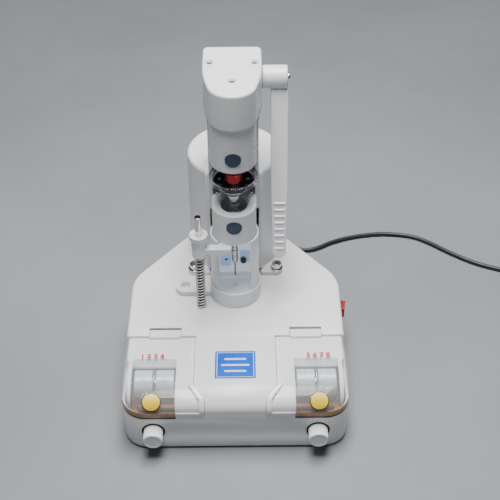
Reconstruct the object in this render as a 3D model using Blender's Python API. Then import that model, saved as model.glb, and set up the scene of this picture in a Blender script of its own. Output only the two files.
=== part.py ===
"""Lens drilling machine: a bench drill for rimless spectacle lenses with two notching bays.

The model is drawn with x = 0 on the plane of symmetry, y = 0 on the front wall and z = 0 on
the bench. An empty carries all of it and puts the middle of the machine over the origin.
"""

import math

import bmesh
import bpy
from mathutils import Matrix, Vector

# Clearances and walls that many pieces share
GAP = 0.0003
RUNNING_GAP = 0.0006
OVERRUN = 0.004
SKIN = 0.0025

# Base moulding
BASE_HALF_WIDTH = 0.102
BASE_DEPTH = 0.264
BASE_BACK_HALF_WIDTH = 0.0247
BASE_SHOULDER_Y = 0.1647
DECK_Z = 0.062
FRONT_TOP_Z = 0.047
FRONT_FALL_Y = 0.025
FRONT_CORNER_R = 0.022
SIDE_CORNER_R = 0.042
BACK_CORNER_R = 0.012
RIM_R = 0.003
FOOT_HEIGHT = 0.0025
FOOT_R = 0.008
PLATE_THICK = 0.002
FRONT_FOOT_FROM_SIDE = 0.022
FRONT_FOOT_Y = 0.024
BACK_FOOT_X = 0.033
BACK_FOOT_FROM_BACK = 0.033
FRONT_FOOT = (BASE_HALF_WIDTH - FRONT_FOOT_FROM_SIDE, FRONT_FOOT_Y)
BACK_FOOT = (BACK_FOOT_X, BASE_DEPTH - BACK_FOOT_FROM_BACK)

# Bays and their clear covers
BAY_INNER_X = 0.037
BAY_BACK_Y = 0.083
BAY_TAB_X = 0.027
BAY_TAB_BACK_Y = 0.020
BAY_TAB_FRONT_Y = 0.006
BAY_SEAT_Z = 0.044
BAY_GAP = 0.0004
COVER_THICK = 0.002
FRAME_THICK = 0.002
WINDOW_FROM_SEAM = 0.0167
WINDOW_FROM_SIDE = 0.0083
WINDOW_X = (BAY_INNER_X + WINDOW_FROM_SEAM, BASE_HALF_WIDTH - WINDOW_FROM_SIDE)
WINDOW_BACK_Y = 0.0436
HINGE_FROM_SEAM = 0.0142
HINGE_FROM_SIDE = 0.0216
HINGE_X = (BAY_INNER_X + HINGE_FROM_SEAM, BASE_HALF_WIDTH - HINGE_FROM_SIDE)
HINGE_Y = 0.090
HINGE_Z = 0.060
HINGE_R = 0.002
HINGE_NOTCH_BACK_Y = 0.0938
HINGE_PIN_R = 0.00095
HINGE_PIN_LENGTH = 0.0028
HINGE_BORE_R = 0.00125
LUG_WIDTH = 0.004
LUG_DEPTH = 0.007
LUG_DROP = 0.0027

# Chip tray, guide rollers, notching disc and motor of a bay
TRAY_FROM_SEAM = 0.014
TRAY_FROM_SIDE = 0.0052
TRAY_X = (BAY_INNER_X + TRAY_FROM_SEAM, BASE_HALF_WIDTH - TRAY_FROM_SIDE)
TRAY_Y = (0.0052, 0.058)
TRAY_FLOOR_Z = 0.0275
TRAY_WALL = 0.0015
ROLLER_Y = 0.038
ROLLER_Z = 0.045
ROLLER_R = 0.0125
ROLLER_IN_TRAY = (0.0045, 0.0053)
DISC_X = (TRAY_X[0] + ROLLER_IN_TRAY[0] + TRAY_X[1] - ROLLER_IN_TRAY[1]) / 2
DISC_SPACE = 0.0015
ROLLER_X = (
    TRAY_X[0] + ROLLER_IN_TRAY[0],
    DISC_X - DISC_SPACE,
    DISC_X + DISC_SPACE,
    TRAY_X[1] - ROLLER_IN_TRAY[1],
)
ROLLER_CORE_R = 0.006
DISC_R = 0.0136
DISC_THICK = 0.0008
SPINDLE_R = 0.002
SPINDLE_BORE_R = 0.0023
SPINDLE_PAST_TRAY = 0.0055
SPINDLE_SHORT = 0.0006
SPINDLE_X = (TRAY_X[0] - SPINDLE_PAST_TRAY, TRAY_X[1] - SPINDLE_SHORT)
MOTOR_FROM_TRAY = 0.0035
MOTOR_LENGTH = 0.033
MOTOR_X = (TRAY_X[0] - MOTOR_FROM_TRAY - MOTOR_LENGTH, TRAY_X[0] - MOTOR_FROM_TRAY)
MOTOR_R = 0.011
MOTOR_NOSE_R = 0.006
MOTOR_BORE_DEPTH = 0.006

# Front knobs
KNOB_FROM_SIDE = 0.028
KNOB_X = BASE_HALF_WIDTH - KNOB_FROM_SIDE
KNOB_Z = 0.0237
KNOB_R = 0.0086
KNOB_OUT = 0.0125
KNOB_IN = 0.0032
KNOB_EDGE = 0.0008
KNOB_HOLE_R = 0.010
KNOB_SHAFT_R = 0.003
KNOB_SHAFT_END_Y = 0.020
EAR_Y = (0.011, 0.015)
EAR_HALF_WIDTH = 0.009
EAR_TOP_Z = 0.0262
EAR_SIDE_R = 0.0005

# Rocker switch in the right wall
SWITCH_Y = (0.1324, 0.1502)
SWITCH_Z = (0.0324, 0.0466)
SWITCH_OUT = 0.0072
BEZEL_RIM = 0.0016
BEZEL_THICK = 0.0022
SWITCH_BODY_DEPTH = 0.022
SWITCH_WALL = 0.0010
WELL_DEPTH = 0.004
ROCKER_RISE = 0.0019
ROCKER_DIP = 0.0012
ROCKER_PIVOT_DEPTH = 0.0015
ROCKER_DRAFT = 0.0010
ROCKER_SEAT_DEPTH = 0.0012
ROCKER_KEEL_DEPTH = 0.003

# Work collar, pad, open column and its panel
DRILL_Y = 0.1445
COLLAR_R = 0.0248
COLLAR_TOP_Z = 0.079
COLLAR_FLOOR = 0.004
COLLAR_BORE_R = 0.0233
COLLAR_CENTRE_HOLE_R = 0.004
EAR_PLATE_THICK = 0.0057
EAR_PLATE_R = 0.010
EAR_BEHIND_DRILL = 0.003
EAR_PLATE_AT = (-0.049, DRILL_Y + EAR_BEHIND_DRILL)
EAR_JOIN_X = 0.0215
EAR_HOLE_R = 0.0045
COLUMN_R = 0.023
COLUMN_BORE_R = 0.0212
COLUMN_LIP_Z = 0.0775
COLUMN_OPEN_HALF_WIDTH = 0.0155
PAD_R = 0.0209
PAD_TOP_Z = 0.070
PAD_HOLE_R = 0.0022
PANEL_HALF_WIDTH = 0.0152
PANEL_BEHIND_DRILL = 0.0125
PANEL_Y = DRILL_Y + PANEL_BEHIND_DRILL
PANEL_THICK = 0.0015
PANEL_KNOB_AT = (0.008, 0.0925)
PANEL_KNOB_R = 0.00275
PANEL_KNOB_OUT = 0.004
PANEL_KNOB_STEM_R = 0.001

# Depths of the tower, each one from the drill's axis back
THROAT = 0.044
ROD_Y = DRILL_Y + THROAT
CHEEK_AHEAD = 0.0305
CHEEK_BEHIND = 0.0145
CHEEK_Y = (ROD_Y - CHEEK_AHEAD, ROD_Y + CHEEK_BEHIND)
CAP_OVERHANG = 0.0025
CAP_BACK_Y = CHEEK_Y[1] + CAP_OVERHANG
PIVOT_BEHIND_RODS = 0.0005
PIVOT_Y = ROD_Y + PIVOT_BEHIND_RODS

# Rear housing and what stands inside it
HOUSING_BEHIND_CAP = 0.0075
HOUSING_Y = CAP_BACK_Y + HOUSING_BEHIND_CAP
HOUSING_R = 0.0455
HOUSING_TOP_R = 0.0448
HOUSING_TOP_Z = 0.1836
HOUSING_EDGE_R = 0.004
FLANGE_THICK = 0.0037
FLANGE_HALF_WIDTH = 0.047
FLANGE_AHEAD = 0.045
FLANGE_FRONT_Y = HOUSING_Y - FLANGE_AHEAD
FLANGE_CORNER_R = 0.006
FLANGE_BACK_R = 0.0485
SLOT_HALF_WIDTH = 0.0258
SLOT_CLEARANCE = 0.0013
SLOT_BACK_Y = CAP_BACK_Y + SLOT_CLEARANCE
BOLT_FROM_FRONT = 0.006
BOLT_AT = (0.0408, FLANGE_FRONT_Y + BOLT_FROM_FRONT)
BOLT_HEAD_R = 0.0047
BOLT_HEAD_HEIGHT = 0.0055
BOLT_WASHER_R = 0.0062
BOLT_WASHER_THICK = 0.0012
BOLT_SHANK_R = 0.0025
BOLT_SOCKET_R = 0.0026
BOLT_SOCKET_DEPTH = 0.003
CORE_HALF_WIDTH = 0.022
CORE_AHEAD = 0.0025
CORE_DEPTH = 0.034
CORE_Y = (HOUSING_Y - CORE_AHEAD, HOUSING_Y - CORE_AHEAD + CORE_DEPTH)
CORE_HEIGHT = 0.040
WINDING_HALF_WIDTH = 0.012
WINDING_OUT = 0.0025
WINDING_HEIGHT = 0.026

# Slide: block on the deck, two rods and a rack
SLIDE_HALF_WIDTH = 0.0235
SLIDE_AHEAD = 0.0169
SLIDE_Y = (ROD_Y - SLIDE_AHEAD, CHEEK_Y[1])
SLIDE_HEIGHT = 0.0117
ROD_X = 0.0145
ROD_R = 0.004
ROD_TOP_Z = 0.240
RACK_HALF_WIDTH = 0.004
STROKE = 0.014
STROKE_GAP = 0.001

# Pinion on the lever shaft and its rack
PIVOT_Z = 0.2764
PITCH_R = 0.012
RACK_DEPTH = 0.0051
RACK_BACK_Y = PIVOT_Y - PITCH_R - RACK_DEPTH
TEETH = 24
TOOTH_OUT = 0.0007
TOOTH_IN = 0.0012
TOOTH_ROOT_WIDTH = 0.0020
TOOTH_TIP_WIDTH = 0.0007
RACK_TEETH = 9
PINION_HALF_WIDTH = 0.005
LEVER_SHAFT_R = 0.004

# Carriage: frame, covers and what they hold
CHEEK_OUT_X = 0.0228
CHEEK_IN_X = 0.0193
CHEEK_BOTTOM_Z = 0.153
CHEEK_TOP_Z = 0.264
CHEEK_EAR_AHEAD = 0.011
CHEEK_EAR_BEHIND = 0.011
CHEEK_EAR_Y = (PIVOT_Y - CHEEK_EAR_AHEAD, PIVOT_Y + CHEEK_EAR_BEHIND)
CHEEK_EAR_TOP_Z = 0.288
SHOULDER_OUT_X = 0.0258
SHOULDER_Z = (0.247, 0.2635)
SHOULDER_RISE = 0.013
SHOULDER_SETBACK = 0.008
SHOULDER_Y = CHEEK_Y[0] + SHOULDER_SETBACK
FRONT_PLATE_SETBACK = 0.010
FRONT_PLATE_THICK = 0.003
FRONT_PLATE_Y = (CHEEK_Y[0] + FRONT_PLATE_SETBACK, CHEEK_Y[0] + FRONT_PLATE_SETBACK + FRONT_PLATE_THICK)
BRIDGE_HEIGHT = 0.012
LOWER_BRIDGE_Z = 0.153
UPPER_BRIDGE_Z = 0.226
NOSE_R = 0.0205
NOSE_Z = (0.137, 0.170)
NOSE_NECK_Z = 0.154
RECESS_R = 0.0125
RECESS_RIM_R = 0.0138
RECESS_RIM_DEPTH = 0.0008
RECESS_FLOOR_Z = 0.148
NOSE_HOLE_R = 0.0036
COVER_R = 0.0207
COVER_WALL = 0.002
COVER_Z = (0.218, 0.2637)
CAP_Z = (0.264, 0.298)
CAP_WALL = 0.0023
CAP_HALF_WIDTH = 0.0258
CAP_FRONT_R = 0.0212
CAP_NOSE_AHEAD = 0.0022
CAP_FRONT_Y = DRILL_Y - CAP_NOSE_AHEAD
CAP_TAPER_SETBACK = 0.009
CAP_TAPER_Y = CHEEK_Y[0] + CAP_TAPER_SETBACK
CAP_CORNER_R = 0.005
CAP_EDGE_R = 0.002
CAP_SHAFT_HOLE_R = 0.005
BACK_COVER_HALF_WIDTH = 0.0226
BACK_COVER_THICK = 0.0018
PLUG_R = 0.007
PLUG_OUT = 0.0006
PLUG_IN = 0.0050
PLUG_HOLE_R = 0.0073
UPPER_PLUG_Z = 0.232
LOWER_PLUG_Z = 0.157
DRILL_MOTOR_R = 0.015
DRILL_MOTOR_Z = (0.2133, 0.250)
DRILL_MOTOR_BORE_DEPTH = 0.009
DRILL_MOTOR_EDGE = 0.0015
DRILL_MOTOR_FOOT_HALF_WIDTH = 0.009
DRILL_MOTOR_FOOT_HEIGHT = 0.008
MOTOR_PLATE_Z = (0.1933, 0.1970)
MOTOR_PLATE_R = 0.0182
MOTOR_PLATE_EAR_REACH = 0.006
MOTOR_PLATE_TAIL_HALF_WIDTH = 0.012
GUARD_R = (0.0205, 0.0220)
GUARD_HEIGHT = 0.005
GUARD_Z = (MOTOR_PLATE_Z[1] + GAP, MOTOR_PLATE_Z[1] + GAP + GUARD_HEIGHT)
GUARD_TAB_HALF_WIDTH = 0.006
SLEEVE_R = 0.006
SLEEVE_NECK_R = 0.0044
SLEEVE_TOP_R = 0.005
SLEEVE_FLANGE_R = 0.0095
SLEEVE_STEPS_Z = (0.1515, 0.164, 0.1775, 0.1815)

# Spindle
SHAFT_R = 0.0022
SHAFT_BORE_R = 0.0026
SHAFT_Z = (0.1163, 0.2215)
SHAFT_NOSE_R = 0.0028
SHAFT_NOSE_TOP_Z = 0.119
SHAFT_DISC_R = 0.012
SHAFT_DISC_Z = (0.1885, 0.1900)
COUPLING_R = 0.006
COUPLING_TOP_R = 0.0078
COUPLING_SPACE = 0.0012
COUPLING_Z = (0.1958, 0.1985, 0.2070)
COLLET_R = 0.00315
COLLET_TIP_R = 0.0022
COLLET_Z = (0.100, 0.103, 0.116)
BIT_R = 0.0007
BIT_POINT_R = 0.0002
BIT_Z = (0.083, 0.0955, 0.112)
BIT_BORE_R = 0.001

# Lever
LEVER_TILT_DEG = 20.0
HUB_R = 0.0105
HUB_X = (0.0263, 0.0488)
HUB_EDGE = 0.0012
HUB_BORE_END_X = 0.0458
ARM_X = (0.0338, 0.0494)
ARM_THICK = 0.009
ARM_LENGTH = 0.1694
ARM_GRIP_START = 0.100
ARM_END_HALF_WIDTH = 0.0061
ARM_EDGE = 0.0012
LEVER_SCREW_R = 0.0036
LEVER_SCREW_OUT = 0.0022
LEVER_SCREW_STEM_R = 0.0015

# Stop rod, bracket, nut and return spring
STOP_AHEAD = 0.0205
STOP_AT = (-0.0327, DRILL_Y - STOP_AHEAD)
STOP_ROD_R = 0.003
STOP_ROD_TOP_Z = 0.171
STOP_BORE_R = 0.0035
STOP_SLEEVE_R = 0.00675
STOP_SLEEVE_Z = (0.126, 0.146)
STOP_ARM_Z = (0.1307, 0.1367)
STOP_ARM_AHEAD = 0.0055
STOP_ARM_BEHIND = 0.0025
STOP_ARM_Y = (STOP_AT[1] - STOP_ARM_AHEAD, STOP_AT[1] + STOP_ARM_BEHIND)
STOP_ARM_END_X = -0.003
STOP_PAD_START_X = -0.014
STOP_PAD_REACH = 0.009
STOP_PAD_BACK_Y = STOP_AT[1] + STOP_PAD_REACH
STOP_NUT_R = 0.00865
STOP_NUT_HEIGHT = 0.0047
STOP_NUT_EDGE = 0.0006
STOP_NUT_BORE_R = 0.0033
SPRING_R = 0.004
SPRING_WIRE_R = 0.0005
SPRING_CURLS = 19
SPRING_POINTS = 8

# Mains cord, its coil, strain relief and plug
CORD_R = 0.00225
CORD_EXIT = (0.008, 0.018)
RELIEF_LENGTH = 0.024
RELIEF_R = (0.0055, 0.0036)
RELIEF_COLLAR_R = 0.0075
RELIEF_COLLAR = 0.0025
RELIEF_RINGS = 5
CORD_LIFT = 0.0003
CORD_ROUTE = (
    (0.0080, 0.2883, 0.0180),
    (0.0081, 0.2940, 0.0177),
    (0.0100, 0.3030, 0.0145),
    (0.0165, 0.3110, 0.0095),
    (0.0265, 0.3150, 0.0056),
    (0.0378, 0.3132, 0.0032),
    (0.0470, 0.3055, 0.00255),
    (0.0532, 0.2945, 0.00255),
    (0.0605, 0.2843, 0.00255),
    (0.0705, 0.2780, 0.00255),
    (0.0820, 0.2772, 0.00255),
    (0.0935, 0.2818, 0.00255),
    (0.1060, 0.2895, 0.00255),
    (0.1268, 0.2978, 0.00255),
    (0.1450, 0.3020, 0.00255),
    (0.1625, 0.3040, 0.00255),
    (0.1839, 0.3023, 0.00255),
    (0.2004, 0.2978, 0.00255),
    (0.2160, 0.2878, 0.00255),
    (0.2360, 0.2707, 0.00255),
    (0.2609, 0.2529, 0.00255),
    (0.2859, 0.2415, 0.00255),
    (0.3020, 0.2368, 0.00255),
    (0.3150, 0.2354, 0.00255),
)
CORD_POINTS = 40
COIL_CENTRE = (0.320, 0.202)
COIL_OUTER_R = 0.0334
COIL_PITCH = 0.0050
COIL_LAYER_RISE = 0.0050
COIL_TURNS = 6.25
COIL_POINTS = 24
COIL_LEAD = 0.0047
COIL_TAIL = (
    (0.3537, 0.1970),
    (0.3551, 0.1908),
    (0.3574, 0.1848),
    (0.3600, 0.1790),
)
PLUG_BODY = (0.020, 0.034, 0.0145)
PLUG_NECK_R = 0.0042
PLUG_NECK_LENGTH = 0.012
PLUG_PIN_R = 0.0024
PLUG_PIN_LENGTH = 0.018
PLUG_PIN_SPREAD = 0.0095
PLUG_FRONT_SHARE = 0.72

# Facets
FINE = 36
ROUND = 20
SMALL = 12
TINY = 8
ARC_STEPS = 4
FALL_STEPS = 6
SHARP_ANGLE_DEG = 32.0

# Finishes: colour, roughness, metallic, alpha
WHITE = ((0.80, 0.81, 0.82), 0.32, 0.0, 1.0)
CLEAR = ((0.90, 0.93, 0.95), 0.08, 0.0, 0.3)
NAVY = ((0.035, 0.055, 0.11), 0.45, 0.0, 1.0)
STEEL = ((0.62, 0.62, 0.63), 0.22, 1.0, 1.0)
CHROME = ((0.78, 0.77, 0.75), 0.12, 1.0, 1.0)
ALUMINIUM = ((0.70, 0.71, 0.72), 0.38, 1.0, 1.0)
NYLON = ((0.74, 0.77, 0.80), 0.40, 0.0, 1.0)
COPPER = ((0.42, 0.24, 0.13), 0.35, 0.0, 1.0)
RED = ((0.45, 0.02, 0.03), 0.30, 0.0, 1.0)
BLACK = ((0.015, 0.015, 0.016), 0.45, 0.0, 1.0)
RUBBER = ((0.02, 0.02, 0.02), 0.80, 0.0, 1.0)
COLLET_TONE = ((0.52, 0.44, 0.44), 0.35, 1.0, 1.0)

BEHIND_FRONT = (BASE_DEPTH - KNOB_OUT) / 2


def clear_scene():
    """Take every object out of the scene."""
    for item in list(bpy.data.objects):
        bpy.data.objects.remove(item, do_unlink=True)


def pivot(name, place, parent):
    """An empty at a joint's axis; place is in the machine's drawing frame."""
    empty = bpy.data.objects.new(name, None)
    bpy.context.scene.collection.objects.link(empty)
    empty.parent = parent
    seat = Vector(parent["place"]) if parent else Vector((0, 0, 0))
    empty.location = Vector(place) - seat
    empty["place"] = list(place)
    return empty


def finish_of(name, finish):
    """A Principled material of the piece's own."""
    colour, roughness, metallic, alpha = finish
    material = bpy.data.materials.new(name + "_finish")
    material.use_nodes = True
    shader = material.node_tree.nodes["Principled BSDF"]
    shader.inputs["Base Color"].default_value = (*colour, 1.0)
    shader.inputs["Roughness"].default_value = roughness
    shader.inputs["Metallic"].default_value = metallic
    shader.inputs["Alpha"].default_value = alpha
    material.diffuse_color = (*colour, alpha)
    return material


def solid(name, bm, axis):
    """Make an object of a bmesh that is drawn in the machine's frame, carried by axis."""
    bmesh.ops.recalc_face_normals(bm, faces=bm.faces)
    bm.transform(Matrix.Translation(-Vector(axis["place"])))
    mesh = bpy.data.meshes.new(name)
    bm.to_mesh(mesh)
    bm.free()
    item = bpy.data.objects.new(name, mesh)
    bpy.context.scene.collection.objects.link(item)
    item.parent = axis
    return item


def piece(name, bm, finish, axis):
    """A visible piece with its own finish, round surfaces shaded smooth."""
    item = solid(name, bm, axis)
    item.data.materials.append(finish_of(name, finish))
    item.data.shade_smooth()
    item.data.set_sharp_from_angle(angle=math.radians(SHARP_ANGLE_DEG))
    return item


def shaper(name, bm, axis):
    """A hidden cutter or guide."""
    item = solid(name, bm, axis)
    item.hide_render = True
    item.display_type = "WIRE"
    return item


def boolean(item, other, operation):
    """Combine item with a hidden shaper."""
    step = item.modifiers.new(other.name, "BOOLEAN")
    step.operation = operation
    step.solver = "EXACT"
    step.object = other


def cut(item, bm):
    """Take a shape out of item."""
    count = len(item.modifiers)
    boolean(item, shaper(f"{item.name}_cut_{count}", bm, item.parent), "DIFFERENCE")


def add(item, bm):
    """Fuse a shape to item."""
    count = len(item.modifiers)
    boolean(item, shaper(f"{item.name}_add_{count}", bm, item.parent), "UNION")


def keep(item, bm):
    """Keep what item shares with a shape."""
    count = len(item.modifiers)
    boolean(item, shaper(f"{item.name}_keep_{count}", bm, item.parent), "INTERSECT")


def skinned(bm, rings, closed):
    """Bridge rings of equal length, or single points, into a closed skin."""
    loops = [[bm.verts.new(point) for point in ring] for ring in rings]
    pairs = list(zip(loops, loops[1:]))
    if closed:
        pairs.append((loops[-1], loops[0]))
    for low, high in pairs:
        count = max(len(low), len(high))
        for i in range(count):
            j = (i + 1) % count
            corners = [low[i % len(low)], low[j % len(low)], high[j % len(high)], high[i % len(high)]]
            face = list(dict.fromkeys(corners))
            bm.faces.new(face)
    if not closed:
        for end in (loops[0], loops[-1]):
            if len(end) > 2:
                bm.faces.new(end)
    return bm


def loft(rings):
    """A solid through closed outlines, flat at both ends."""
    return skinned(bmesh.new(), rings, False)


def prism(outline, low, high, along="Z"):
    """Extrude a flat outline from low to high along an axis.

    The outline's pairs are (x, y) along Z, (y, z) along X and (x, z) along Y."""
    place = {
        "X": lambda a, b, h: (h, a, b),
        "Y": lambda a, b, h: (a, h, b),
        "Z": lambda a, b, h: (a, b, h),
    }[along]
    return loft([[place(a, b, h) for a, b in outline] for h in (low, high)])


def block(xs, ys, zs):
    """A box between two corners."""
    outline = [(xs[0], ys[0]), (xs[1], ys[0]), (xs[1], ys[1]), (xs[0], ys[1])]
    return prism(outline, zs[0], zs[1])


def turned(profile, centre, along, facets, bored=False):
    """Turn a profile of (radius, place along the axis) round an axis through centre.

    A radius of zero closes an end to a point; a bored profile closes on itself."""
    u, v, w = {
        "X": (Vector((0, 1, 0)), Vector((0, 0, 1)), Vector((1, 0, 0))),
        "Y": (Vector((0, 0, 1)), Vector((1, 0, 0)), Vector((0, 1, 0))),
        "Z": (Vector((1, 0, 0)), Vector((0, 1, 0)), Vector((0, 0, 1))),
    }[along]
    base = Vector(centre)
    base -= w * base.dot(w)
    rings = []
    for radius, height in profile:
        count = facets if radius > 0 else 1
        turns = [2 * math.pi * i / facets for i in range(count)]
        rings.append(
            [base + w * height + u * radius * math.cos(t) + v * radius * math.sin(t) for t in turns]
        )
    return skinned(bmesh.new(), rings, bored)


def cylinder(centre, along, radius, low, high, facets):
    """A plain round bar."""
    return turned([(radius, low), (radius, high)], centre, along, facets)


def tube(centre, along, outer, inner, low, high, facets):
    """A round bar with a bore right through."""
    profile = [(outer, low), (outer, high), (inner, high), (inner, low)]
    return turned(profile, centre, along, facets, bored=True)


def bevelled(centre, along, radius, low, high, edge, facets):
    """A round bar with both edges broken."""
    profile = [(radius - edge, low), (radius, low + edge), (radius, high - edge), (radius - edge, high)]
    return turned(profile, centre, along, facets)


def arc(centre, radius, start_deg, end_deg, steps):
    """Points on an arc in the plane."""
    points = []
    for i in range(steps + 1):
        turn = math.radians(start_deg + (end_deg - start_deg) * i / steps)
        points.append((centre[0] + radius * math.cos(turn), centre[1] + radius * math.sin(turn)))
    return points


def inset(corners, draws):
    """Move each edge of a convex outline inwards; edge i runs from corner i to the next."""
    lines = []
    for i, (x, y) in enumerate(corners):
        nx, ny = corners[(i + 1) % len(corners)]
        length = math.hypot(nx - x, ny - y)
        inward = (-(ny - y) / length, (nx - x) / length)
        lines.append((inward, inward[0] * x + inward[1] * y + draws[i]))
    moved = []
    for i in range(len(corners)):
        (a, b), c = lines[i - 1]
        (d, e), f = lines[i]
        area = a * e - b * d
        moved.append(((c * e - b * f) / area, (a * f - c * d) / area))
    return moved


def rounded(corners, radii, steps):
    """Round the corners of an outline that runs counter-clockwise."""
    points = []
    for i, corner in enumerate(corners):
        here = Vector(corner)
        back = (Vector(corners[i - 1]) - here).normalized()
        ahead = (Vector(corners[(i + 1) % len(corners)]) - here).normalized()
        half = back.angle(ahead) / 2
        centre = here + (back + ahead).normalized() * (radii[i] / math.sin(half))
        start = here + back * (radii[i] / math.tan(half)) - centre
        turn = math.pi - 2 * half
        for k in range(steps + 1):
            angle = turn * k / steps
            cos, sin = math.cos(angle), math.sin(angle)
            point = centre + Vector((start.x * cos - start.y * sin, start.x * sin + start.y * cos))
            points.append((point.x, point.y))
    return points


def mirrored(pairs, side):
    """Flip an outline to the left half when side is -1."""
    flipped = [(side * x, y) for x, y in pairs]
    return flipped if side > 0 else flipped[::-1]


def span(side, pair):
    """A range of x on one side of the machine, low end first."""
    return tuple(sorted((side * pair[0], side * pair[1])))


def base_outline(draw, front_draw):
    """Plan of the base, drawn in all round by draw and at the front by front_draw."""
    corners = [
        (-BASE_HALF_WIDTH, 0),
        (BASE_HALF_WIDTH, 0),
        (BASE_HALF_WIDTH, BASE_SHOULDER_Y),
        (BASE_BACK_HALF_WIDTH, BASE_DEPTH),
        (-BASE_BACK_HALF_WIDTH, BASE_DEPTH),
        (-BASE_HALF_WIDTH, BASE_SHOULDER_Y),
    ]
    moved = inset(corners, [front_draw, draw, draw, draw, draw, draw])
    radii = [FRONT_CORNER_R, FRONT_CORNER_R, SIDE_CORNER_R, BACK_CORNER_R, BACK_CORNER_R, SIDE_CORNER_R]
    return rounded(moved, [radius - draw for radius in radii], ARC_STEPS)


def moulding(draw, bottom):
    """The base's outer form as a solid, its skin drawn in by draw.

    The front falls away from the deck in a quarter ellipse; the other rims have a small radius."""
    rim = RIM_R - min(draw, RIM_R / 2)
    top = DECK_Z - draw
    rings = [[(x, y, bottom) for x, y in base_outline(draw, draw)]]
    for i in range(FALL_STEPS + 1):
        turn = math.pi / 2 * i / FALL_STEPS
        z = FRONT_TOP_Z + (top - FRONT_TOP_Z) * math.sin(turn)
        front = draw + (FRONT_FALL_Y - draw) * (1 - math.cos(turn))
        above = max(z - (top - rim), 0)
        side = draw + rim - math.sqrt(max(rim**2 - above**2, 0))
        rings.append([(x, y, z) for x, y in base_outline(side, front)])
    return loft(rings)


def bay_outline(side, draw):
    """Plan of a bay, open past the base's front and side, drawn in by draw at its seams."""
    out = BASE_HALF_WIDTH + OVERRUN
    pairs = [
        (out, -OVERRUN),
        (out, BAY_BACK_Y - draw),
        (BAY_INNER_X + draw, BAY_BACK_Y - draw),
        (BAY_INNER_X + draw, BAY_TAB_BACK_Y),
        (BAY_TAB_X + draw, BAY_TAB_FRONT_Y),
        (BAY_TAB_X + draw, -OVERRUN),
    ]
    return mirrored(pairs, side)


def make_base(root):
    """Hollow white moulding with two bays, knob holes, a switch opening and a cord hole."""
    shell = piece("base_shell", moulding(0, FOOT_HEIGHT), WHITE, root)
    cut(shell, moulding(SKIN, FOOT_HEIGHT - OVERRUN))
    for side in (-1, 1):
        cut(shell, prism(bay_outline(side, 0), BAY_SEAT_Z, DECK_Z + OVERRUN))
        notch = (HINGE_X[0] - BAY_GAP, HINGE_X[1] + BAY_GAP)
        deep = (DECK_Z - SKIN - OVERRUN, DECK_Z + OVERRUN)
        cut(shell, block(span(side, notch), (BAY_BACK_Y - OVERRUN, HINGE_NOTCH_BACK_Y), deep))
        for inner, outer in ((notch[0] - LUG_WIDTH, notch[0]), (notch[1], notch[1] + LUG_WIDTH)):
            depth = (HINGE_Y - LUG_DEPTH / 2, HINGE_Y + LUG_DEPTH / 2)
            height = (DECK_Z - SKIN - LUG_DROP, DECK_Z - SKIN / 2)
            add(shell, block(span(side, (inner, outer)), depth, height))
        reach = span(side, (notch[0] - HINGE_PIN_LENGTH - GAP, notch[1] + HINGE_PIN_LENGTH + GAP))
        cut(shell, cylinder((0, HINGE_Y, HINGE_Z), "X", HINGE_BORE_R, *reach, TINY))
        hole = cylinder((side * KNOB_X, 0, KNOB_Z), "Y", KNOB_HOLE_R, -OVERRUN, SKIN + OVERRUN, ROUND)
        cut(shell, hole)
    wall = (BASE_HALF_WIDTH - SKIN - OVERRUN, BASE_HALF_WIDTH + OVERRUN)
    cut(shell, block(wall, SWITCH_Y, SWITCH_Z))
    back = (BASE_DEPTH - SKIN - OVERRUN, BASE_DEPTH + OVERRUN)
    centre = (CORD_EXIT[0], 0, CORD_EXIT[1])
    cut(shell, cylinder(centre, "Y", RELIEF_R[0] + GAP, *back, SMALL))

    plate_low = FOOT_HEIGHT
    plate_high = FOOT_HEIGHT + PLATE_THICK
    outline = base_outline(SKIN + GAP, SKIN + GAP)
    plate = piece("bottom_plate", prism(outline, plate_low, plate_high), WHITE, root)
    for side in (-1, 1):
        ends = (side * KNOB_X - EAR_HALF_WIDTH, side * KNOB_X + EAR_HALF_WIDTH)
        add(plate, block(ends, EAR_Y, (plate_high - PLATE_THICK / 2, EAR_TOP_Z)))
        centre = (side * KNOB_X, 0, KNOB_Z)
        bore = KNOB_SHAFT_R + GAP
        cut(plate, cylinder(centre, "Y", bore, EAR_Y[0] - OVERRUN / 2, EAR_Y[1] + OVERRUN, SMALL))
        slot = (side * KNOB_X - bore - EAR_SIDE_R, side * KNOB_X + bore + EAR_SIDE_R)
        cut(plate, block(slot, (EAR_Y[0] - OVERRUN / 2, EAR_Y[1] + OVERRUN), (KNOB_Z, EAR_TOP_Z + OVERRUN)))

    places = {
        "foot_front_left": (-FRONT_FOOT[0], FRONT_FOOT[1]),
        "foot_front_right": (FRONT_FOOT[0], FRONT_FOOT[1]),
        "foot_back_left": (-BACK_FOOT[0], BACK_FOOT[1]),
        "foot_back_right": (BACK_FOOT[0], BACK_FOOT[1]),
    }
    for name, (x, y) in places.items():
        profile = [(FOOT_R - KNOB_EDGE, 0), (FOOT_R, KNOB_EDGE), (FOOT_R, FOOT_HEIGHT - GAP)]
        piece(name, turned(profile, (x, y, 0), "Z", SMALL), RUBBER, root)


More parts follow.
